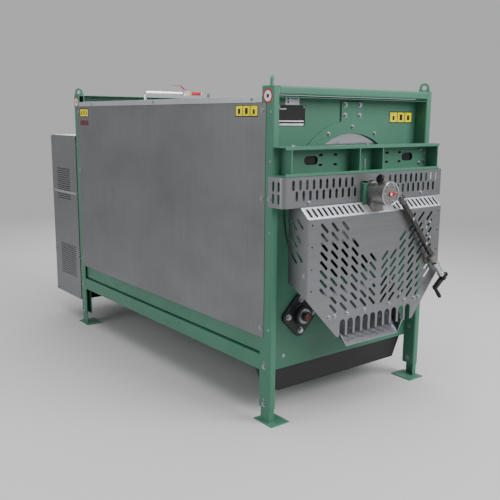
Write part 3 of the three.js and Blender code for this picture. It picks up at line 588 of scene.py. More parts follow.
def bolt_tree():
    """Hexagon bolts on washers at stored places, each scaled by its stored size."""
    tree, source, result = new_tree(
        "bolt heads",
        ("Head height", "NodeSocketFloat", 0.6),
        ("Washer radius", "NodeSocketFloat", 1.4),
        ("Material", "NodeSocketMaterial", None),
    )
    join = tree.nodes.new("GeometryNodeJoinGeometry")
    height = source.outputs["Head height"]
    thick = 0.16
    for sides, radius, deep, lift in (
        (16, source.outputs["Washer radius"], thick, None),
        (6, None, height, height),
        (12, 0.84, 0.10, height),
    ):
        disc = tree.nodes.new("GeometryNodeMeshCylinder")
        disc.inputs["Vertices"].default_value = sides
        disc.inputs["Radius"].default_value = 1.0
        for value, socket in ((radius, disc.inputs["Radius"]), (deep, disc.inputs["Depth"])):
            if isinstance(value, bpy.types.NodeSocket):
                tree.links.new(value, socket)
            elif value is not None:
                socket.default_value = value
        move = tree.nodes.new("GeometryNodeTransform")
        if lift is None:
            level = sum_of(tree, "ADD", thick / 2, 0.0)
        elif sides == 6:
            level = sum_of(tree, "ADD", sum_of(tree, "MULTIPLY", lift, 0.5), thick)
        else:
            level = sum_of(tree, "ADD", lift, thick + 0.05)
        wire(tree, (disc.outputs["Mesh"], move.inputs["Geometry"]),
             (vector_of(tree, z=level), move.inputs["Translation"]), (move.outputs[0], join.inputs[0]))
    copies = tree.nodes.new("GeometryNodeInstanceOnPoints")
    wire(
        tree,
        (source.outputs["Geometry"], copies.inputs["Points"]),
        (join.outputs[0], copies.inputs["Instance"]),
        (turned_places(tree), copies.inputs["Rotation"]),
        (stored(tree, "size", "FLOAT"), copies.inputs["Scale"]),
    )
    return coated(tree, source, copies.outputs[0], result)


def chain_tree():
    """Roller chain: side plates and rollers along a closed loop."""
    tree, source, result = new_tree(
        "chain links",
        ("Links", "NodeSocketInt", 60),
        ("Pitch", "NodeSocketFloat", 0.0127),
        ("Plate height", "NodeSocketFloat", 0.008),
        ("Material", "NodeSocketMaterial", None),
    )
    curve = tree.nodes.new("GeometryNodeMeshToCurve")
    points = tree.nodes.new("GeometryNodeCurveToPoints")
    points.mode = "COUNT"
    facing = tree.nodes.new("FunctionNodeAlignRotationToVector")
    facing.axis = "X"
    facing.pivot_axis = "Y"
    join = tree.nodes.new("GeometryNodeJoinGeometry")
    for level in (-0.003, 0.003):
        plate = tree.nodes.new("GeometryNodeMeshCube")
        size = tree.nodes.new("ShaderNodeCombineXYZ")
        size.inputs["Y"].default_value = 0.0014
        move = tree.nodes.new("GeometryNodeTransform")
        move.inputs["Translation"].default_value = (0, level, 0)
        wire(tree, (sum_of(tree, "MULTIPLY", source.outputs["Pitch"], 1.1), size.inputs["X"]),
             (source.outputs["Plate height"], size.inputs["Z"]), (size.outputs[0], plate.inputs["Size"]),
             (plate.outputs["Mesh"], move.inputs["Geometry"]), (move.outputs[0], join.inputs[0]))
    roller = tree.nodes.new("GeometryNodeMeshCylinder")
    roller.inputs["Vertices"].default_value = 8
    roller.inputs["Radius"].default_value = 0.003
    roller.inputs["Depth"].default_value = 0.0068
    lay = tree.nodes.new("GeometryNodeTransform")
    lay.inputs["Rotation"].default_value = (math.pi / 2, 0, 0)
    copies = tree.nodes.new("GeometryNodeInstanceOnPoints")
    wire(
        tree,
        (source.outputs["Geometry"], curve.inputs["Mesh"]),
        (curve.outputs[0], points.inputs["Curve"]),
        (source.outputs["Links"], points.inputs["Count"]),
        (points.outputs["Tangent"], facing.inputs["Vector"]),
        (roller.outputs["Mesh"], lay.inputs["Geometry"]),
        (lay.outputs[0], join.inputs[0]),
        (points.outputs["Points"], copies.inputs["Points"]),
        (join.outputs[0], copies.inputs["Instance"]),
        (facing.outputs[0], copies.inputs["Rotation"]),
    )
    return coated(tree, source, copies.outputs[0], result)


def run_tree(thing, tree, **values):
    """Runs a node group on a piece and keeps the result as a plain mesh."""
    step = thing.modifiers.new(tree.name, "NODES")
    step.node_group = tree
    for item in tree.interface.items_tree:
        label = item.name.replace(" ", "_").lower()
        if item.in_out == "INPUT" and label in values:
            step[item.identifier] = values[label]
    return settle(thing)


def tree_named(name, maker):
    return bpy.data.node_groups.get(name) or maker()


def facing_turn(along, through):
    """The turn that lays a place's X along one direction and its Z through another."""
    z = Vector(through).normalized()
    x = Vector(along)
    x = (x - z * x.dot(z)).normalized()
    y = z.cross(x)
    return Matrix((x, y, z)).transposed().to_euler("XYZ")


def places(name, entries):
    """Points that each hold a turn and a size: (position, along, through, size)."""
    mesh = bpy.data.meshes.new(name)
    mesh.from_pydata([spot(*entry[0]) for entry in entries], [], [])
    mesh.attributes.new("turn", "FLOAT_VECTOR", "POINT")
    mesh.attributes.new("size", "FLOAT", "POINT")
    turns = [c for _, along, through, _ in entries for c in facing_turn(along, through)]
    mesh.attributes["turn"].data.foreach_set("vector", turns)
    mesh.attributes["size"].data.foreach_set("value", [size / 1000 for *_, size in entries])
    thing = bpy.data.objects.new(name, mesh)
    bpy.context.scene.collection.objects.link(thing)
    return thing


def punched(thing, entries, length, width, material, depth=24):
    """Punches round-ended holes into a piece."""
    marks = places("marks", entries)
    tree = tree_named("punched holes", punch_tree)
    sizes = {"length": length / 1000, "width": width / 1000, "depth": depth / 1000}
    run_tree(thing, tree, places=marks, material=finish(material), **sizes)
    bpy.data.objects.remove(marks)
    return thing


OUT = {
    "left": (-1, 0, 0), "right": (1, 0, 0), "front": (0, -1, 0), "rear": (0, 1, 0),
    "top": (0, 0, 1), "under": (0, 0, -1),
}
ALONG = {
    "left": (0, 1, 1), "right": (0, 1, 1), "front": (1, 0, 0.4), "rear": (1, 0, 0.4),
    "top": (1, 1, 0), "under": (1, 1, 0),
}


def bolts(name, entries, body, material="zinc", slot="bright_steel", height=0.6, washer=1.4):
    """Bolt heads as one piece: entries are (x, y, z, side, across-corner radius)."""
    rows = [
        ((x, y, z), ALONG.get(side, (1, 0, 0)), OUT.get(side, side), size)
        for x, y, z, side, size in entries
    ]
    thing = places(name, rows)
    thing.data.materials.append(finish(material))
    tree = tree_named("bolt heads", bolt_tree)
    run_tree(thing, tree, head_height=height, washer_radius=washer, material=finish(material))
    return hold(thing, body, slot)


def both_sides(entries):
    """Entries and their mirror images on the machine's right."""
    swap = {"left": "right", "right": "left"}
    return entries + [(WIDTH - x, y, z, swap.get(side, side), size) for x, y, z, side, size in entries]


# ---------------------------------------------------------------- settings


class SeparatorLook(bpy.types.PropertyGroup):
    """Colours and small sizes that a user would change."""

    paint_colour: bpy.props.FloatVectorProperty(
        name="Paint", description="Colour of the painted frame", subtype="COLOR", size=3,
        min=0.0, max=1.0, default=(0.047, 0.158, 0.102))
    sheet_colour: bpy.props.FloatVectorProperty(
        name="Sheet", description="Colour of the zinc-coated sheet", subtype="COLOR", size=3,
        min=0.0, max=1.0, default=(0.285, 0.29, 0.305))
    guard_slot_length: bpy.props.FloatProperty(
        name="Guard slot length", description="Length of the slanting slots in the front guard",
        subtype="DISTANCE", unit="LENGTH", default=0.064)
    guard_slot_width: bpy.props.FloatProperty(
        name="Guard slot width", description="Width of the slanting slots in the front guard",
        subtype="DISTANCE", unit="LENGTH", default=0.015)
    band_slot_length: bpy.props.FloatProperty(
        name="Band slot length", description="Height of the slots in the band guard",
        subtype="DISTANCE", unit="LENGTH", default=0.047)
    band_slot_width: bpy.props.FloatProperty(
        name="Band slot width", description="Width of the slots in the band guard",
        subtype="DISTANCE", unit="LENGTH", default=0.0152)
    bend_radius: bpy.props.FloatProperty(
        name="Bend radius", description="Middle radius of the folds in the frame's sheet",
        subtype="DISTANCE", unit="LENGTH", default=0.007)


def look():
    return bpy.context.scene.separator_look


# ---------------------------------------------------------------- frame


class SEPARATOR_OT_posts(bpy.types.Operator):
    """Folded corner posts with their top plates, eyes and sliding feet"""

    bl_idname = "separator.posts"
    bl_label = "Posts, eyes and feet"

    def execute(self, context):
        for name in ("front_left", "front_right", "rear_left", "rear_right"):
            self.post(name)
            dressed("lifting_eye_" + name, "frame", "green_paint", "green_paint", 1.6, 3, worn=True)
            dressed("foot_" + name, "foot_" + name, "green_paint", "green_paint", 1.2, 2, worn=True)
        return {"FINISHED"}

    def post(self, name):
        low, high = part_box("post_" + name)
        x0, x1 = spot_x(low.x), spot_x(high.x)
        y0, y1 = spot_y(low.y), spot_y(high.y)
        z0, z1 = low.z * 1000, high.z * 1000
        thick = 5.0
        outer, inner = (x0, x1) if "left" in name else (x1, x0)
        near, far = (y0, y1) if "front" in name else (y1, y0)
        sx = 1 if outer < inner else -1
        sy = 1 if near < far else -1
        mid = thick / 2
        inside, outside, face = inner - sx * mid, outer + sx * mid, near + sy * mid
        path = [(inside, far), (inside, face), (outside, face), (outside, far)]
        angle = folded(path, thick, "Z", z0, z1, look().bend_radius * 1000)
        plate = slab(x0 + 1, x1 - 1, y0 + 1, y1 - 1, z1 - thick, z1 - 0.4)
        thing = piece("post_" + name + "_folded", mesh_of(joined(angle, plate), "post"), "green_paint")
        rounded(thing, 0.9, 2, 35, worn=True)
        hold(thing, "frame", "green_paint", "post_" + name)


class SEPARATOR_OT_rails(bpy.types.Operator):
    """Top and bottom rails, the front panel and the pan"""

    bl_idname = "separator.rails"
    bl_label = "Rails and panels"

    def execute(self, context):
        for side in ("left", "right"):
            dressed("bottom_rail_" + side, "frame", "green_paint", "green_paint", 2.2, 3, worn=True)
            dressed("top_rail_" + side, "frame", "green_paint", "green_paint", 1.5, 2)
        dressed("bottom_rail_rear", "frame", "green_paint", "green_paint", 1.5, 2, worn=True)
        self.cross_rail("front", 1)
        self.cross_rail("rear", -1)
        for node in ("front_panel", "rear_panel", "bottom_pan"):
            dressed(node, "frame", "green_paint", "green_paint", 0.7, 2)
        self.lining()
        return {"FINISHED"}

    def lining(self):
        """Painted strip that closes the roof between the front rail and the front panel."""
        board = slab(43, WIDTH - 43, 8, 75.5, 1564.5, 1567.5)
        strip = piece("roof_lining", mesh_of(board, "lining"), "green_paint")
        hold(strip, "frame", "green_paint")

    def cross_rail(self, end, side):
        low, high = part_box("top_rail_" + end)
        x0, x1 = spot_x(low.x), spot_x(high.x)
        y0, y1 = spot_y(low.y), spot_y(high.y)
        z0, z1 = low.z * 1000, high.z * 1000
        face, back = (y0, y1) if side > 0 else (y1, y0)
        mid = 2.0
        skin = face + side * mid
        path = [(face + side * 20, z0 + mid), (skin, z0 + mid), (skin, z1 - mid), (back, z1 - mid)]
        rail = folded(path, 4.0, "X", x0, x1, 6.5)
        thing = piece("top_rail_" + end + "_folded", mesh_of(rail, "rail"), "green_paint")
        rounded(thing, 0.7, 2, 35, worn=True)
        hold(thing, "frame", "green_paint", "top_rail_" + end)


class SEPARATOR_OT_casing(bpy.types.Operator):
    """Side panels with hemmed edges, the roof and the hopper"""

    bl_idname = "separator.casing"
    bl_label = "Casing sheets"

    def execute(self, context):
        for side in ("left", "right"):
            self.side_panel(side)
        # The top cover takes the lighter roof sheet: painted light on the top.
        dressed("top_cover", "frame", "sheet_steel", "roof_sheet", 0.9, 2)
        # The hopper's grey sheet is drawn near-black: painted shade for its face in shadow.
        dressed("bottom_hopper", "frame", "dark_sheet", "dark_sheet", 0.8, 2)
        dressed("inlet_spout", "frame", "sheet_steel", "cover_sheet", 0.8, 2)
        dressed("outlet_chute", "frame", "bright_steel", "chute_sheet", 0.7, 2)
        dressed("end_disc", "frame", "bright_steel", "bright_steel", 0.6, 2)
        return {"FINISHED"}

    def side_panel(self, side):
        low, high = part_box("side_panel_" + side)
        x0, x1 = spot_x(low.x), spot_x(high.x)
        y0, y1 = spot_y(low.y), spot_y(high.y)
        z0, z1 = low.z * 1000, high.z * 1000
        out = x0 if side == "left" else x1
        inward = 1 if side == "left" else -1
        panel = slab(x0, x1, y0, y1, z0, z1)
        hem = slab(*sorted((out, out - inward * 1.2)), y0 + 26, y1 - 26, z1 - 9, z1 - 0.5)
        thing = piece("side_panel_" + side + "_sheet", mesh_of(joined(panel, hem), "panel"), "side_sheet")
        rounded(thing, 0.6, 2)
        hold(thing, "frame", "sheet_steel", "side_panel_" + side)


class SEPARATOR_OT_seal(bpy.types.Operator):
    """Seal ring and its stem"""

    bl_idname = "separator.seal"
    bl_label = "Seal ring"

    def execute(self, context):
        dressed("seal_ring", "frame", "green_paint", "green_paint", 0.9, 2, worn=True)
        ring = []
        for i in range(15):
            angle = math.radians(90 + i * 24)
            ring.append((577 + 405 * math.cos(angle), 68, 1027 + 405 * math.sin(angle), "front", 8.0))
        bolts("ring_bolts", ring, "frame", height=0.7)
        stem = [(x, 68, z, "front", 8.5) for x in (522, 626) for z in (1540, 1488)]
        bolts("stem_bolts", stem, "frame", height=0.75, washer=1.7)
        # Black patches under the stem bolts: painted shade standing for the dark openings of the stem's slots.
        slots = [prism([(x - 4.5, z - 15), (x + 4.5, z - 15), (x + 4.5, z + 15), (x - 4.5, z + 15)], "Y", 67.2, 67.9)
                 for x in (522, 626) for z in (1540, 1488)]
        dark = piece("stem_slots", mesh_of(joined(*slots), "slots"), "black_ink")
        hold(dark, "frame", "green_paint")
        return {"FINISHED"}


# ---------------------------------------------------------------- beam and guards


class SEPARATOR_OT_beam(bpy.types.Operator):
    """Lipped cross beam with ribs and cut-outs, and the gearbox bracket"""

    bl_idname = "separator.beam"
    bl_label = "Cross beam"

    def execute(self, context):
        dressed("cross_beam", "frame", "green_paint", "green_paint", 1.1, 2, worn=True)
        dressed("gearbox_bracket", "frame", "green_paint", "green_paint", 1.0, 2, worn=True)
        web = [(532, -5, 1271, "front", 8), (698, -5, 1272, "front", 8), (86, -5, 1300, "front", 8),
               (86, -5, 1238, "front", 8), (1024, -5, 1312, "front", 8), (1024, -5, 1240, "front", 8),
               (1062, -5, 1288, "front", 8), (1062, -5, 1250, "front", 8)]
        flanges = [(88, -42, 1345, "top", 8), (585, -30, 1345, "top", 8), (84, -58, 1215, "top", 8),
                   (468, -56, 1215, "top", 8), (676, -56, 1215, "top", 8)]
        bolts("beam_bolts", web + flanges, "frame", height=0.7)
        # Black plate behind the web: painted shade, standing for the shadowed space seen through the beam's cut-outs.
        liner = piece("beam_liner", mesh_of(slab(46, 1050, 4, 7, 1216, 1339), "liner"), "black_ink")
        hold(liner, "frame", "black_plastic")
        stud = turned([(0, 0), (5, 0), (5, 58), (4, 60), (0, 60)], (552, -48, 1215), (0, 0, 1), 12)
        nut = turned([(0, 0), (11, 0), (11, 9), (0, 9)], (552, -48, 1215), (0, 0, 1), 6)
        thing = piece("beam_stud", mesh_of(joined(stud, nut), "stud"), "zinc")
        hold(soft(thing), "frame", "bright_steel")
        return {"FINISHED"}


class SEPARATOR_OT_band_guard(bpy.types.Operator):
    """Band guard: one bent strip with two rows of slots and a notch for the gearbox"""

    bl_idname = "separator.band_guard"
    bl_label = "Band guard"

    def execute(self, context):
        low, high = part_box("band_guard")
        x0, x1 = spot_x(low.x) + 1, spot_x(high.x) - 1
        y0, y1 = spot_y(low.y) + 1, spot_y(high.y)
        z0, z1 = low.z * 1000, high.z * 1000
        path = [(x0, y1), (x0, y0), (x1, y0), (x1, y1)]
        strip = folded(path, 2.0, "Z", z0, z1, (0, 27.0, 7.0, 0))
        thing = piece("band_guard_sheet", mesh_of(strip, "band"), "guard_sheet")
        block = slab(WIDTH + 0.3, x1 - 1.2, 6, 26, 1094, 1114)
        spacer = piece("band_spacer", mesh_of(block, "spacer"), "zinc")
        hold(rounded(spacer, 1.0), "frame", "bright_steel")
        cut(thing, slab(494, 660, -100, -60, z0 - 10, 1172))
        up, front = (0, 0, 1), (0, 1, 0)
        top = [57 + 42 * i for i in range(10)] + [707 + 41 * i for i in range(10)]
        low_row = [78 + 42 * i for i in range(10)] + [728 + 41 * i for i in range(9)]
        rows = [((x, y0, 1172), up, front, 1) for x in top]
        rows += [((x, y0, 1122), up, front, 1) for x in low_row]
        sides = [((x, y, z), up, (1, 0, 0), 1) for x in (x0, x1) for y in (-10, -48) for z in (1166, 1110)]
        length, width = look().band_slot_length * 1000, look().band_slot_width * 1000
        punched(thing, rows + sides, length, width, "guard_sheet", 12)
        soft(thing, 30)
        hold(thing, "frame", "sheet_steel", "band_guard")
        rivets = both_sides([(155, y0 - 1, 1086, "front", 8), (x0 - 1, 16, 1104, "left", 8.5)])
        bolts("band_bolts", rivets, "frame", height=0.7, washer=1.5)
        return {"FINISHED"}


class SEPARATOR_OT_front_guard(bpy.types.Operator):
    """Six-sided front guard with slanting slots, a slotted hood and a comb at its foot"""

    bl_idname = "separator.front_guard"
    bl_label = "Front guard"

    def execute(self, context):
        low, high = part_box("front_guard")
        left, right = spot_x(low.x), spot_x(high.x)
        front, back = spot_y(low.y), spot_y(high.y)
        foot, crest = low.z * 1000, high.z * 1000
        middle = (left + right) / 2
        near_shoulder, far_shoulder, brow, wing = 636, 668, 1020, 704
        hood_back = -88
        build = bmesh.new()
        points = {}

        def at(*place):
            if place not in points:
                points[place] = build.verts.new(spot(*place))
            return points[place]

        def plate(*corners):
            build.faces.new([at(*c) for c in corners])

        def hood(x, y):
            return (x, y, brow + (y - front) * (crest - brow) / (hood_back - front))

        a, f = (left, front, brow), (right, front, brow)
        b, e = (left, front, near_shoulder), (right, front, far_shoulder)
        c, d = (middle - 279.5, front, foot), (middle + 279.5, front, foot)
        plate(a, b, c, d, e, f)
        ha, hf = hood(left, hood_back), hood(right, hood_back)
        notch = [hood(656, hood_back), hood(656, -101), hood(611, -101), hood(611, -136),
                 hood(527, -136), hood(527, -101), hood(498, -101), hood(498, hood_back)]
        plate(a, f, hf, *notch, ha)
        plate(a, ha, (left, back, crest), (left, back, wing), b)
        plate(f, e, (right, back, wing), (right, back, crest), hf)
        bmesh.ops.recalc_face_normals(build, faces=build.faces)
        if build.faces[:][0].normal.y > 0:
            bmesh.ops.reverse_faces(build, faces=build.faces)
        shared = [edge for edge in build.edges if len(edge.link_faces) == 2]
        bmesh.ops.bevel(build, geom=shared, offset=0.005, offset_type="OFFSET", segments=3, profile=0.5, affect="EDGES")
        mesh = bpy.data.meshes.new("guard")
        build.to_mesh(mesh)
        build.free()
        thing = piece("front_guard_sheet", mesh, "guard_sheet")
        wall = thing.modifiers.new("sheet", "SOLIDIFY")
        wall.thickness = 0.002
        wall.offset = -1.0
        wall.use_even_offset = True
        settle(thing)
        self.punch_face(thing, front, foot, left, middle)
        self.punch_hood(thing, front, hood_back, brow, crest)
        self.punch_wings(thing, left, right)
        # Upward faces of the hood take the pale copy of the sheet: painted highlight where the top light falls.
        thing.data.materials.append(finish("hood_sheet"))
        for face in thing.data.polygons:
            if face.normal.z > 0.5 and face.normal.y < -0.3 and face.center.z > brow / 1000:
                face.material_index = 1
        soft(thing, 30)
        hold(thing, "frame", "sheet_steel", "front_guard")
        row = [(x, front, 536, "front", 7.5) for x in (244, 282, 368, 488, 672, 794, 870, 907)]
        side = both_sides([(left, -119, 754, "left", 8)])
        side[1] = (right, -119, 754, "right", 8)
        bolts("guard_bolts", row + side, "frame", height=0.7, washer=1.5)
        return {"FINISHED"}

    def punch_face(self, thing, front, foot, left, middle):
        through = (0, 1, 0)
        slots = []
        columns = ((202, 0, 8), (270, 0, 10), (339, 0, 10), (409, 2, 10), (477, 4, 10), (540, 4, 10))
        for x, first, last in columns:
            for row in range(first, last):
                z = 972 - 44 * row
                slots.append(((x, front, z), (1, 0, -1), through, 1))
                slots.append(((1166 - x, front, z), (1, 0, 1), through, 1))
        length, width = look().guard_slot_length * 1000, look().guard_slot_width * 1000
        punched(thing, slots, length, width, "guard_sheet", 10)
        pitch, width, crown = 53.7, 38.3, 512
        first = middle - (10 * pitch - (pitch - width)) / 2 + width / 2
        comb = [((first + i * pitch, front, foot), (0, 0, 1), through, 1) for i in range(10)]
        punched(thing, comb, 2 * (crown - foot), width, "guard_sheet", 10)
        small = [((x, front, z), (1, 0, 0), through, 1) for x in (125, 1034) for z in (992, 890, 784, 681)]
        punched(thing, small, 9.1, 9, "guard_sheet", 10)

    def punch_hood(self, thing, front, back, low, high):
        run = Vector((0, back - front, high - low))
        across = Vector((0, -run.z, run.y))
        slots = []
        for i in range(28):
            x = 128 + 33.6 * i
            if 489 < x < 667:
                continue
            slots.append(((x, (front + back) / 2, (low + high) / 2), run, across, 1))
        punched(thing, slots, 54, 15, "guard_sheet", 10)

    def punch_wings(self, thing, left, right):
        slots = [((x, y, z + rise), (0, -1, -1), (1, 0, 0), 1)
                 for x in (left, right) for y, rise in ((-84, 0), (-44, -12)) for z in (992, 915, 838)]
        punched(thing, slots, 62, 15, "guard_sheet", 10)


# ---------------------------------------------------------------- turning pieces


class SEPARATOR_OT_bearings(bpy.types.Operator):
    """Flange bearings, roller shafts and their rusty shaft ends"""

    bl_idname = "separator.bearings"
    bl_label = "Bearings and rollers"

    def execute(self, context):
        heads = []
        for end in ("front", "rear"):
            for side in ("left", "right"):
                node = "bearing_" + end + "_" + side
                dressed(node, "frame", "black_cast", "black_cast", 3.5, 3, angle=30)
                low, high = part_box(node)
                x = (spot_x(low.x) + spot_x(high.x)) / 2
                z = (low.z + high.z) * 500
                face = spot_y(low.y) + 47.6 - 15 if end == "front" else spot_y(high.y) - 47.6 + 15
                for dx, dz in ((80, 0), (-80, 0), (0, 80), (0, -80)):
                    heads.append((x + dx, face, z + dz, end, 12))
                if end == "front":
                    self.collar(x, z, side)
        bolts("bearing_bolts", heads, "frame", height=0.75, washer=1.35)
        for side in ("left", "right"):
            dressed("roller_" + side, "roller_" + side, "black_cast", "black_cast", 2.0, 2, angle=40)
        return {"FINISHED"}

    def collar(self, x, z, side):
        """Shaft end and its clamping collar, seen through the bearing."""
        collar = turned([(25.6, 24), (37, 24), (38, 25), (38, 34), (25.6, 34), (25.6, 24)], (x, 0, z), (0, 1, 0), 32)
        thing = piece("collar_" + side, mesh_of(collar, "collar"), "zinc")
        hold(soft(thing), "roller_" + side, "bright_steel")
        end = turned([(0, 3), (17, 3), (19, 5), (19, 7.5), (0, 7.5)], (x, 0, z), (0, 1, 0), 24)
        cap = piece("shaft_end_" + side, mesh_of(end, "end"), "rusty_shaft")
        hold(soft(cap), "roller_" + side, "bright_steel")


class SEPARATOR_OT_drum(bpy.types.Operator):
    """Drum, catch trough and screw"""

    bl_idname = "separator.drum"
    bl_label = "Drum, trough and screw"

    def execute(self, context):
        dressed("drum_shell", "drum", "sheet_steel", "drum_sheet", 1.0, 1)
        dressed("catch_trough", "trough", "sheet_steel", "cover_sheet", 0.8, 1)
        dressed("auger_shaft", "auger", "bright_steel", "bright_steel", 0.8, 1)
        dressed("auger_flight", "auger", "sheet_steel", "dark_sheet", 0.4, 1)
        return {"FINISHED"}


class SEPARATOR_OT_gearbox(bpy.types.Operator):
    """Trough gearbox with its dial, cap and pointer"""

    bl_idname = "separator.gearbox"
    bl_label = "Gearbox and dial"

    def execute(self, context):
        x, z, face = 577, 1114, -202
        dressed("gearbox_housing", "frame", "cast_alloy", "cast_alloy", 2.2, 3, angle=30)
        dressed("worm_wheel", "trough", "bright_steel", "bright_steel", 0.5, 1)
        dressed("pointer", "trough", "red_plastic", "red_plastic", 0.8, 2)
        dressed("worm_shaft", "worm", "bright_steel", "bright_steel", 0.8, 2)
        thing = piece("dial_cover_finished", copy_of("dial_cover"), "cast_alloy")
        notches = [((x + 62 * math.cos(a), face + 3, z + 62 * math.sin(a)), (math.cos(a), 0, math.sin(a)), (0, 1, 0), 1)
                   for a in (TAU * i / 12 + 0.26 for i in range(12))]
        punched(thing, notches, 16, 8, "cast_alloy", 12)
        rounded(thing, 0.8, 2)
        hold(thing, "frame", "cast_alloy", "dial_cover")
        screws = [(x + 42 * math.cos(TAU * i / 6), face, z + 42 * math.sin(TAU * i / 6), "front", 5.5) for i in range(6)]
        bolts("dial_screws", screws, "frame", height=0.6, washer=1.3)
        self.rim(x, z, face)
        ticks = []
        for i in range(13):
            angle = math.radians(-30 + 5 * i)
            reach = 8 if i % 3 == 0 else 5
            out = Vector((math.cos(angle), 0, math.sin(angle)))
            side = Vector((-out.z, 0, out.x)) * 0.7
            inner, outer = out * (58 - reach), out * 58
            corners = [inner - side, outer - side, outer + side, inner + side]
            ticks.append(prism([(x + p.x, z + p.z) for p in corners], "Y", face - 0.5, face + 0.2))
        marks = piece("dial_marks", mesh_of(joined(*ticks), "ticks"), "black_ink")
        hold(marks, "frame", "cast_alloy")
        hub = turned([(0, 0), (7.5, 0), (7.5, 0.5), (6.5, 1.0), (0, 1.0)], (x, -206.9, z), (0, -1, 0), 20)
        centre = piece("pointer_centre", mesh_of(hub, "hub"), "white_vinyl")
        hold(soft(centre), "trough", "red_plastic")
        self.cap()
        return {"FINISHED"}

    def rim(self, x, z, face):
        """Bright machined rim round the dial."""
        profile = [(52, -0.4), (61, -0.4), (61, -2.6), (59.5, -4), (53.5, -4), (52, -2.6), (52, -0.4)]
        rim = turned(profile, (x, face, z), (0, 1, 0), 48)
        thing = piece("dial_rim", mesh_of(rim, "rim"), "bright_steel")
        hold(soft(thing), "frame", "bright_steel")

    def cap(self):
        """Closed end of the worm's tube."""
        top, end = Vector((556, -160, 1182)), Vector((703, -160, 1086))
        axis = (end - top).normalized()
        profile = [(0, -21), (16, -21), (21, -17), (23, -8.4), (0, -8.4)]
        thing = piece("worm_cap", mesh_of(turned(profile, top, axis, 24), "cap"), "black_plastic")
        hold(soft(thing), "frame", "black_plastic")


class SEPARATOR_OT_crank(bpy.types.Operator):
    """Crank rod with its joints, the arm and the grip"""

    bl_idname = "separator.crank"
    bl_label = "Crank"

    def execute(self, context):
        dressed("crank_rod", "crank", "dark_sheet", "rod_steel", 1.6, 2, angle=30)
        dressed("crank_arm", "crank", "black_plastic", "black_plastic", 3.0, 3, angle=30)
        dressed("crank_grip", "grip", "black_plastic", "black_plastic", 1.0, 2)
        dressed("rod_bearing", "frame", "black_cast", "cast_alloy", 1.6, 2, angle=30)
        ball, hand = Vector((703, -160, 1086)), Vector((1056, -181, 632))
        axis = (hand - ball).normalized()
        reach = (hand - ball).length
        pins = []
        side = Vector((axis.z, 0, -axis.x)).normalized()
        out = axis.cross(side)
        for along in (14, 148, 322):
            centre = ball + axis * along
            for way in (-1, 1):
                foot = centre + out * way * (20 if along == 14 else 11)
                pins.append(turned([(0, -1), (7, -1), (7, 1.4), (5, 3.2), (0, 3.8)], foot, out * way, 14))
        thing = piece("rod_pins", mesh_of(joined(*pins), "pins"), "zinc")
        hold(soft(thing), "crank", "bright_steel")
        sleeve = [(10.4, 462), (18, 462), (19, 464), (19, 486), (16.4, 490), (16.4, reach - 40), (19, reach - 38),
                  (19, reach - 24), (17, reach - 20), (10.4, reach - 20), (10.4, 462)]
        hub = piece("crank_hub", mesh_of(turned(sleeve, ball, axis, 28), "hub"), "bright_steel")
        hold(soft(hub), "crank", "bright_steel")
        nut = turned([(0, -8), (9, -8), (9, 3), (0, 3)], hand + axis * 13, axis, 6)
        end = piece("crank_nut", mesh_of(nut, "nut"), "zinc")
        hold(soft(end), "crank", "bright_steel")
        return {"FINISHED"}


# ---------------------------------------------------------------- drive and air line


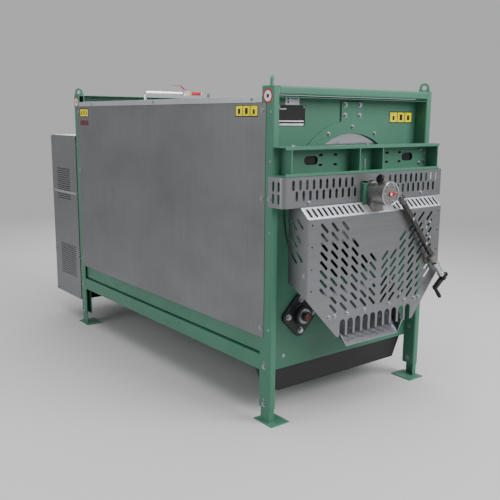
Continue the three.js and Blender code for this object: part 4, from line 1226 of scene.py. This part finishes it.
class SEPARATOR_OT_drive(bpy.types.Operator):
    """Vented drive cover, gearmotor, sprockets and chains"""

    bl_idname = "separator.drive"
    bl_label = "Rear drive"

    def execute(self, context):
        low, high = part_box("drive_cover")
        y0, y1 = spot_y(low.y), spot_y(high.y)
        z0, z1 = low.z * 1000, high.z * 1000
        right = spot_x(high.x)
        thing = piece("drive_cover_sheet", copy_of("drive_cover"), "cover_sheet")
        vents = []
        for area in ((2294, 2504, 884, 1102), (2237, 2491, 324, 554)):
            ya, yb, za, zb = area
            row = 0
            z = za
            while z <= zb:
                y = ya + (10 if row % 2 else 0)
                while y <= yb:
                    vents += [((x, y, z), (0, 1, 0), (1, 0, 0), 1) for x in (1, right - 1)]
                    y += 21
                z += 15.4
                row += 1
        punched(thing, vents, 15, 7.5, "cover_sheet", 8)
        soft(thing, 30)
        hold(thing, "frame", "sheet_steel", "drive_cover")
        seam = [slab(-0.9, 0.3, y0 + 4, y1 - 4, 925, 941), slab(right - 0.3, right + 0.9, y0 + 4, y1 - 4, 925, 941),
                slab(4, right - 4, y1 - 0.3, y1 + 0.9, 925, 941)]
        strips = piece("cover_seams", mesh_of(joined(*seam), "seams"), "cut_edge")
        rounded(strips, 0.3, 1)
        hold(strips, "frame", "sheet_steel")
        heads = [(-0.9, y, z, "left", 7) for y in (y0 + 14, y1 - 14) for z in (z1 - 14, 933, 486, z0 + 16)]
        heads += [(0, (y0 + y1) / 2, z0 + 16, "left", 7)]
        heads += [(right + 0.9, y, z, "right", 7) for y in (y0 + 14, y1 - 14) for z in (z1 - 14, 933, z0 + 16)]
        heads += [(x, y1 + 0.9, z, "rear", 7) for x in (16, right / 2, right - 16) for z in (z1 - 14, 933, z0 + 16)]
        bolts("cover_bolts", heads, "frame", height=0.6, washer=1.5)
        dressed("gearmotor", "frame", "motor_paint", "motor_paint", 4.0, 3, angle=30)
        dressed("motor_sprockets", "motor_shaft", "bright_steel", "bright_steel", 0.8, 1)
        self.chain("drive_chain", (500, 330, 40), (245, None, 60), 2245)
        self.chain("auger_chain", (500, 330, 40), (577, 1114, 90), 2267)
        return {"FINISHED"}

    def chain(self, node, first, second, plane):
        """A closed loop of links round two sprockets."""
        low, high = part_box(node)
        ax, az, ar = first
        bx, bz, br = second
        if bz is None:
            bz = high.z * 1000 - br - 8
        heading = math.atan2(bz - az, bx - ax)
        lean = math.acos((ar - br) / math.hypot(bx - ax, bz - az))
        path = []
        for cx, cz, radius, start, end in (
            (ax, az, ar + 5, heading + lean, heading - lean + TAU),
            (bx, bz, br + 5, heading - lean, heading + lean),
        ):
            for i in range(25):
                angle = start + (end - start) * i / 24
                path.append(spot(cx + radius * math.cos(angle), plane, cz + radius * math.sin(angle)))
        mesh = bpy.data.meshes.new(node)
        mesh.from_pydata(path, [(i, (i + 1) % len(path)) for i in range(len(path))], [])
        length = sum((path[i] - path[i - 1]).length for i in range(len(path)))
        thing = bpy.data.objects.new(node + "_links", mesh)
        bpy.context.scene.collection.objects.link(thing)
        mesh.materials.append(finish("chain_steel"))
        pitch = 0.0127
        run_tree(thing, tree_named("chain links", chain_tree), links=round(length / pitch), pitch=pitch,
                 plate_height=0.0075, material=finish("chain_steel"))
        hold(thing, "frame", "dark_sheet", node)


class SEPARATOR_OT_air_line(bpy.types.Operator):
    """Air pipe on the roof with its valve and lever"""

    bl_idname = "separator.air_line"
    bl_label = "Air line"

    def execute(self, context):
        dressed("air_pipe", "frame", "bright_steel", "bright_steel", 0.8, 2, angle=30)
        dressed("valve_lever", "valve", "red_plastic", "red_plastic", 1.2, 2)
        y, z = 1430, 1625
        union = turned([(8.4, 0), (14, 0), (14, 16), (11, 18), (11, 26), (8.4, 26), (8.4, 0)], (461.5, y, z), (1, 0, 0), 6)
        brass = piece("pipe_union", mesh_of(union, "union"), "brass")
        hold(soft(brass), "frame", "bright_steel")
        cap = turned([(8.4, 0), (12, 0), (12, 64), (10, 67), (8.4, 67), (8.4, 0)], (492, y, z), (1, 0, 0), 24)
        red = piece("pipe_sleeve", mesh_of(cap, "sleeve"), "red_plastic")
        hold(soft(red), "frame", "red_plastic")
        nut = turned([(0, 0), (7, 0), (7, 4), (0, 4)], (441, y, 1650.2), (0, 0, 1), 6)
        top = piece("lever_nut", mesh_of(nut, "nut"), "zinc")
        hold(soft(top), "valve", "bright_steel")
        return {"FINISHED"}


# ---------------------------------------------------------------- fasteners and labels


class SEPARATOR_OT_fasteners(bpy.types.Operator):
    """Bolts on the posts, panels and roof"""

    bl_idname = "separator.fasteners"
    bl_label = "Frame bolts"

    def execute(self, context):
        heads = [(0, 15, z, "left", 4.5) for z in (1500, 1277, 948, 478)]
        heads += [(0, LENGTH - 15, z, "left", 4.5) for z in (1500, 1277, 948, 478)]
        heads += [(-2.3, 71, z, "left", 8) for z in (1504, 1104, 480)]
        heads += [(-2.3, LENGTH - 70, z, "left", 8) for z in (1500, 1107, 490)]
        heads += [(-2.3, y, 1556, "left", 6) for y in (155, 1067, 1879)]
        heads += [(0, y, z, "left", 4) for y in (42, LENGTH - 42) for z in (312, 118)]
        bolts("casing_bolts", both_sides(heads), "frame", height=0.6, washer=1.5)
        panel = [(148, 76, 303, "front", 6.5), (952, 76, 303, "front", 6.5)]
        inner = [(x, 42, z, side, 9.5) for x, side in ((WIDTH - 40, "left"), (40, "right")) for z in (300, 110)]
        bolts("panel_bolts", panel + inner, "frame", height=0.6, washer=1.5)
        for name in ("front_left", "front_right", "rear_left", "rear_right"):
            y = 42 if "front" in name else LENGTH - 42
            x, side = (0, "left") if "left" in name else (WIDTH, "right")
            bolts("leg_bolts_" + name, [(x, y, z, side, 9.5) for z in (287, 93)], "frame", height=0.65, washer=1.45)
        return {"FINISHED"}


class SEPARATOR_OT_labels(bpy.types.Operator):
    """Plain coloured labels and plates, with no lettering"""

    bl_idname = "separator.labels"
    bl_label = "Labels"

    def execute(self, context):
        self.tiles("label_front", lambda a, b, d: (862 + a, 76 - d, 1451 + b), 184, 60)
        self.tiles("label_left", lambda a, b, d: (-2.3 - d, 106 + a, 1476 + b), 176, 56)
        self.tiles("label_left_rear", lambda a, b, d: (-2.3 - d, 1932 + a, 1471 + b), 130, 56)
        self.bars("label_red", lambda a, b, d: (-2.3 - d, 1932 + a, 1414 + b), 130, 36)
        for end, y in (("front", 39), ("rear", LENGTH - 39)):
            self.disc("disc_" + end, y)
        self.plates()
        return {"FINISHED"}

    def patch(self, place, a0, a1, b0, b1, deep, high):
        build = bmesh.new()
        corners = ((a0, b0), (a1, b0), (a1, b1), (a0, b1))
        rings = [[build.verts.new(spot(*place(a, b, d))) for a, b in corners] for d in (deep, high)]
        build.faces.new(rings[0])
        build.faces.new(rings[1])
        for i in range(4):
            j = (i + 1) % 4
            build.faces.new((rings[0][i], rings[0][j], rings[1][j], rings[1][i]))
        return build

    def tiles(self, name, place, wide, tall):
        """A dark backing with three yellow fields, each with a plain dark bar."""
        backing = self.patch(place, 0, wide, 0, tall, 0, 0.35)
        back = piece(name + "_back", mesh_of(backing, "back"), "black_ink")
        hold(back, "frame", "black_plastic")
        gap = 5.0
        field = (wide - 4 * gap) / 3
        fields, bars = [], []
        for i in range(3):
            left = gap + i * (field + gap)
            fields.append(self.patch(place, left, left + field, gap, tall - gap, 0.3, 0.7))
            middle = left + field / 2
            thick = field * (0.14, 0.2, 0.17)[i]
            crown = tall * (0.62, 0.74, 0.68)[i]
            bars.append(self.patch(place, middle - thick, middle + thick, tall * 0.24, crown, 0.65, 0.95))
        yellow = piece(name + "_fields", mesh_of(joined(*fields), "fields"), "yellow_vinyl")
        hold(yellow, "frame", "black_plastic")
        dark = piece(name + "_bars", mesh_of(joined(*bars), "bars"), "black_ink")
        hold(dark, "frame", "black_plastic")

    def bars(self, name, place, wide, tall):
        step = wide / 3
        fields = [self.patch(place, i * step + 2, (i + 1) * step - 2, 2, tall - 2, 0, 0.5) for i in range(3)]
        red = piece(name, mesh_of(joined(*fields), "fields"), "dull_red")
        hold(red, "frame", "red_plastic")

    def disc(self, name, y):
        """A white disc in a red rim."""
        for side, x, way in (("left", 0, -1), ("right", WIDTH, 1)):
            centre = (x, y, 1570)
            axis = (way, 0, 0)
            rim = turned([(25, 0), (33, 0), (33, 0.6), (25, 0.6), (25, 0)], centre, axis, 40)
            white = turned([(0, 0), (25.2, 0), (25.2, 0.5), (0, 0.5)], centre, axis, 40)
            mark = turned([(0, 0.4), (9, 0.4), (9, 0.8), (0, 0.8)], centre, axis, 24)
            parts = (("rim", rim, "red_plastic"), ("field", white, "white_vinyl"), ("mark", mark, "black_ink"))
            for part, build, material in parts:
                thing = piece(f"{name}_{side}_{part}", mesh_of(build, part), material)
                hold(soft(thing), "frame", "red_plastic")

    def plates(self):
        def at_panel(a, b, d):
            return (a, 76 - d, b)

        dark = [self.patch(at_panel, 90, 259, 1436, 1531, 0, 1.5)]
        hold(piece("plate_dark", mesh_of(joined(*dark), "plate"), "black_ink"), "frame", "black_cast")
        bands = ((92, 250, 1438, 1447, 1.4, 1.9), (92, 250, 1455, 1461, 1.4, 1.9),
                 (136, 221, 1534, 1574, 0, 1.2), (100, 140, 1512, 1516, 1.4, 1.9))
        pale = [self.patch(at_panel, *band) for band in bands]
        hold(piece("plate_pale", mesh_of(joined(*pale), "plate"), "white_vinyl"), "frame", "bright_steel")
        red = [self.patch(at_panel, 146, 158, 1540, 1550, 1.1, 1.6)]
        hold(piece("plate_red", mesh_of(joined(*red), "dot"), "red_plastic"), "frame", "red_plastic")
        marks = ((146, 158, 1556, 1567, 1.1, 1.6), (168, 212, 1559, 1563, 1.1, 1.6))
        blue = [self.patch(at_panel, *mark) for mark in marks]
        hold(piece("plate_blue", mesh_of(joined(*blue), "dot"), "blue_vinyl"), "frame", "motor_paint")
        screws = [(x, 75, z, "front", 3.5) for x in (98, 251) for z in (1524, 1443)]
        bolts("plate_screws", screws, "frame", height=0.5, washer=1.2)


# ---------------------------------------------------------------- stage


class SEPARATOR_OT_stage(bpy.types.Operator):
    """Plain pale floor, soft light and the camera"""

    bl_idname = "separator.stage"
    bl_label = "Floor, light and camera"

    def execute(self, context):
        self.floor()
        self.world(context.scene)
        self.lamp("key", (2600, -4200, 4300), (600, 300, 900), 4.2, 420)
        self.lamp("top", (400, 200, 5200), (550, 1000, 800), 5.0, 260)
        self.lamp("left", (-5200, 1600, 2600), (0, 1000, 900), 3.6, 120)
        self.lamp("rear", (2500, 6200, 3800), (550, 1500, 900), 4.0, 160)
        self.camera(context.scene)
        return {"FINISHED"}

    def floor(self):
        size = 40
        mesh = bpy.data.meshes.new("floor")
        corners = [(-size, -size, 0), (size, -size, 0), (size, size, 0), (-size, size, 0)]
        mesh.from_pydata(corners, [], [(0, 1, 2, 3)])
        material = bpy.data.materials.new("studio_floor")
        material.use_nodes = True
        tree = material.node_tree
        shader = tree.nodes["Principled BSDF"]
        shader.inputs["Base Color"].default_value = (0.50, 0.50, 0.50, 1)
        shader.inputs["Roughness"].default_value = 0.9
        glow = tree.nodes.new("ShaderNodeEmission")
        glow.inputs["Color"].default_value = (0.49, 0.49, 0.49, 1)
        place = tree.nodes.new("ShaderNodeTexCoord")
        reach = tree.nodes.new("ShaderNodeVectorMath")
        reach.operation = "LENGTH"
        fade = tree.nodes.new("ShaderNodeMapRange")
        fade.interpolation_type = "SMOOTHSTEP"
        fade.inputs["From Min"].default_value = 2.0
        fade.inputs["From Max"].default_value = 8.0
        blend = tree.nodes.new("ShaderNodeMixShader")
        tree.links.new(place.outputs["Object"], reach.inputs[0])
        tree.links.new(reach.outputs["Value"], fade.inputs["Value"])
        tree.links.new(fade.outputs["Result"], blend.inputs[0])
        tree.links.new(shader.outputs[0], blend.inputs[1])
        tree.links.new(glow.outputs[0], blend.inputs[2])
        tree.links.new(blend.outputs[0], tree.nodes["Material Output"].inputs["Surface"])
        mesh.materials.append(material)
        thing = bpy.data.objects.new("floor", mesh)
        bpy.context.scene.collection.objects.link(thing)

    def world(self, scene):
        world = bpy.data.worlds.new("studio")
        world.use_nodes = True
        back = world.node_tree.nodes["Background"]
        back.inputs["Color"].default_value = (0.49, 0.49, 0.49, 1)
        back.inputs["Strength"].default_value = 1.0
        scene.world = world

    def lamp(self, name, place, target, size, power):
        light = bpy.data.lights.new(name, "AREA")
        light.shape = "SQUARE"
        light.size = size
        light.energy = power
        thing = bpy.data.objects.new(name, light)
        thing.location = spot(*place)
        thing.rotation_euler = (spot(*target) - spot(*place)).to_track_quat("-Z", "Y").to_euler()
        bpy.context.scene.collection.objects.link(thing)

    def camera(self, scene):
        data = bpy.data.cameras.new("camera")
        data.sensor_width = 36.0
        data.lens = 49.38
        pitch, yaw, roll = math.radians(10.85), math.radians(37.67), math.radians(0.42)
        level = Vector((math.sin(yaw), math.cos(yaw), 0))
        right = Vector((math.cos(yaw), -math.sin(yaw), 0))
        up = Vector((0, 0, 1))
        ahead = level * math.cos(pitch) - up * math.sin(pitch)
        rise = level * math.sin(pitch) + up * math.cos(pitch)
        x = right * math.cos(roll) + rise * math.sin(roll)
        y = rise * math.cos(roll) - right * math.sin(roll)
        turn = Matrix((x, y, -ahead)).transposed().to_4x4()
        thing = bpy.data.objects.new("camera", data)
        thing.matrix_world = Matrix.Translation(spot(-1987.9, -2412.7, 1468.7)) @ turn
        scene.collection.objects.link(thing)
        scene.camera = thing


# ---------------------------------------------------------------- panel and registration

STEPS = (
    SEPARATOR_OT_stage, SEPARATOR_OT_posts, SEPARATOR_OT_rails, SEPARATOR_OT_casing, SEPARATOR_OT_seal,
    SEPARATOR_OT_beam, SEPARATOR_OT_band_guard, SEPARATOR_OT_front_guard, SEPARATOR_OT_bearings,
    SEPARATOR_OT_drum, SEPARATOR_OT_gearbox, SEPARATOR_OT_crank, SEPARATOR_OT_drive,
    SEPARATOR_OT_air_line, SEPARATOR_OT_fasteners, SEPARATOR_OT_labels,
)


class SEPARATOR_PT_panel(bpy.types.Panel):
    """The separator's settings and its building steps"""

    bl_label = "Drum grain separator"
    bl_idname = "SEPARATOR_PT_panel"
    bl_space_type = "VIEW_3D"
    bl_region_type = "UI"
    bl_category = "Separator"

    def draw(self, context):
        settings = context.scene.separator_look
        for name in settings.__annotations__:
            self.layout.prop(settings, name)
        for step in STEPS:
            self.layout.operator(step.bl_idname)


def register():
    for kind in (SeparatorLook, *STEPS, SEPARATOR_PT_panel):
        bpy.utils.register_class(kind)
    bpy.types.Scene.separator_look = bpy.props.PointerProperty(type=SeparatorLook)


def unregister():
    del bpy.types.Scene.separator_look
    for kind in reversed((SeparatorLook, *STEPS, SEPARATOR_PT_panel)):
        bpy.utils.unregister_class(kind)


def main():
    register()
    make_finishes(look())
    for step in STEPS:
        group, name = step.bl_idname.split(".")
        getattr(getattr(bpy.ops, group), name)()


if __name__ == "__main__":
    main()
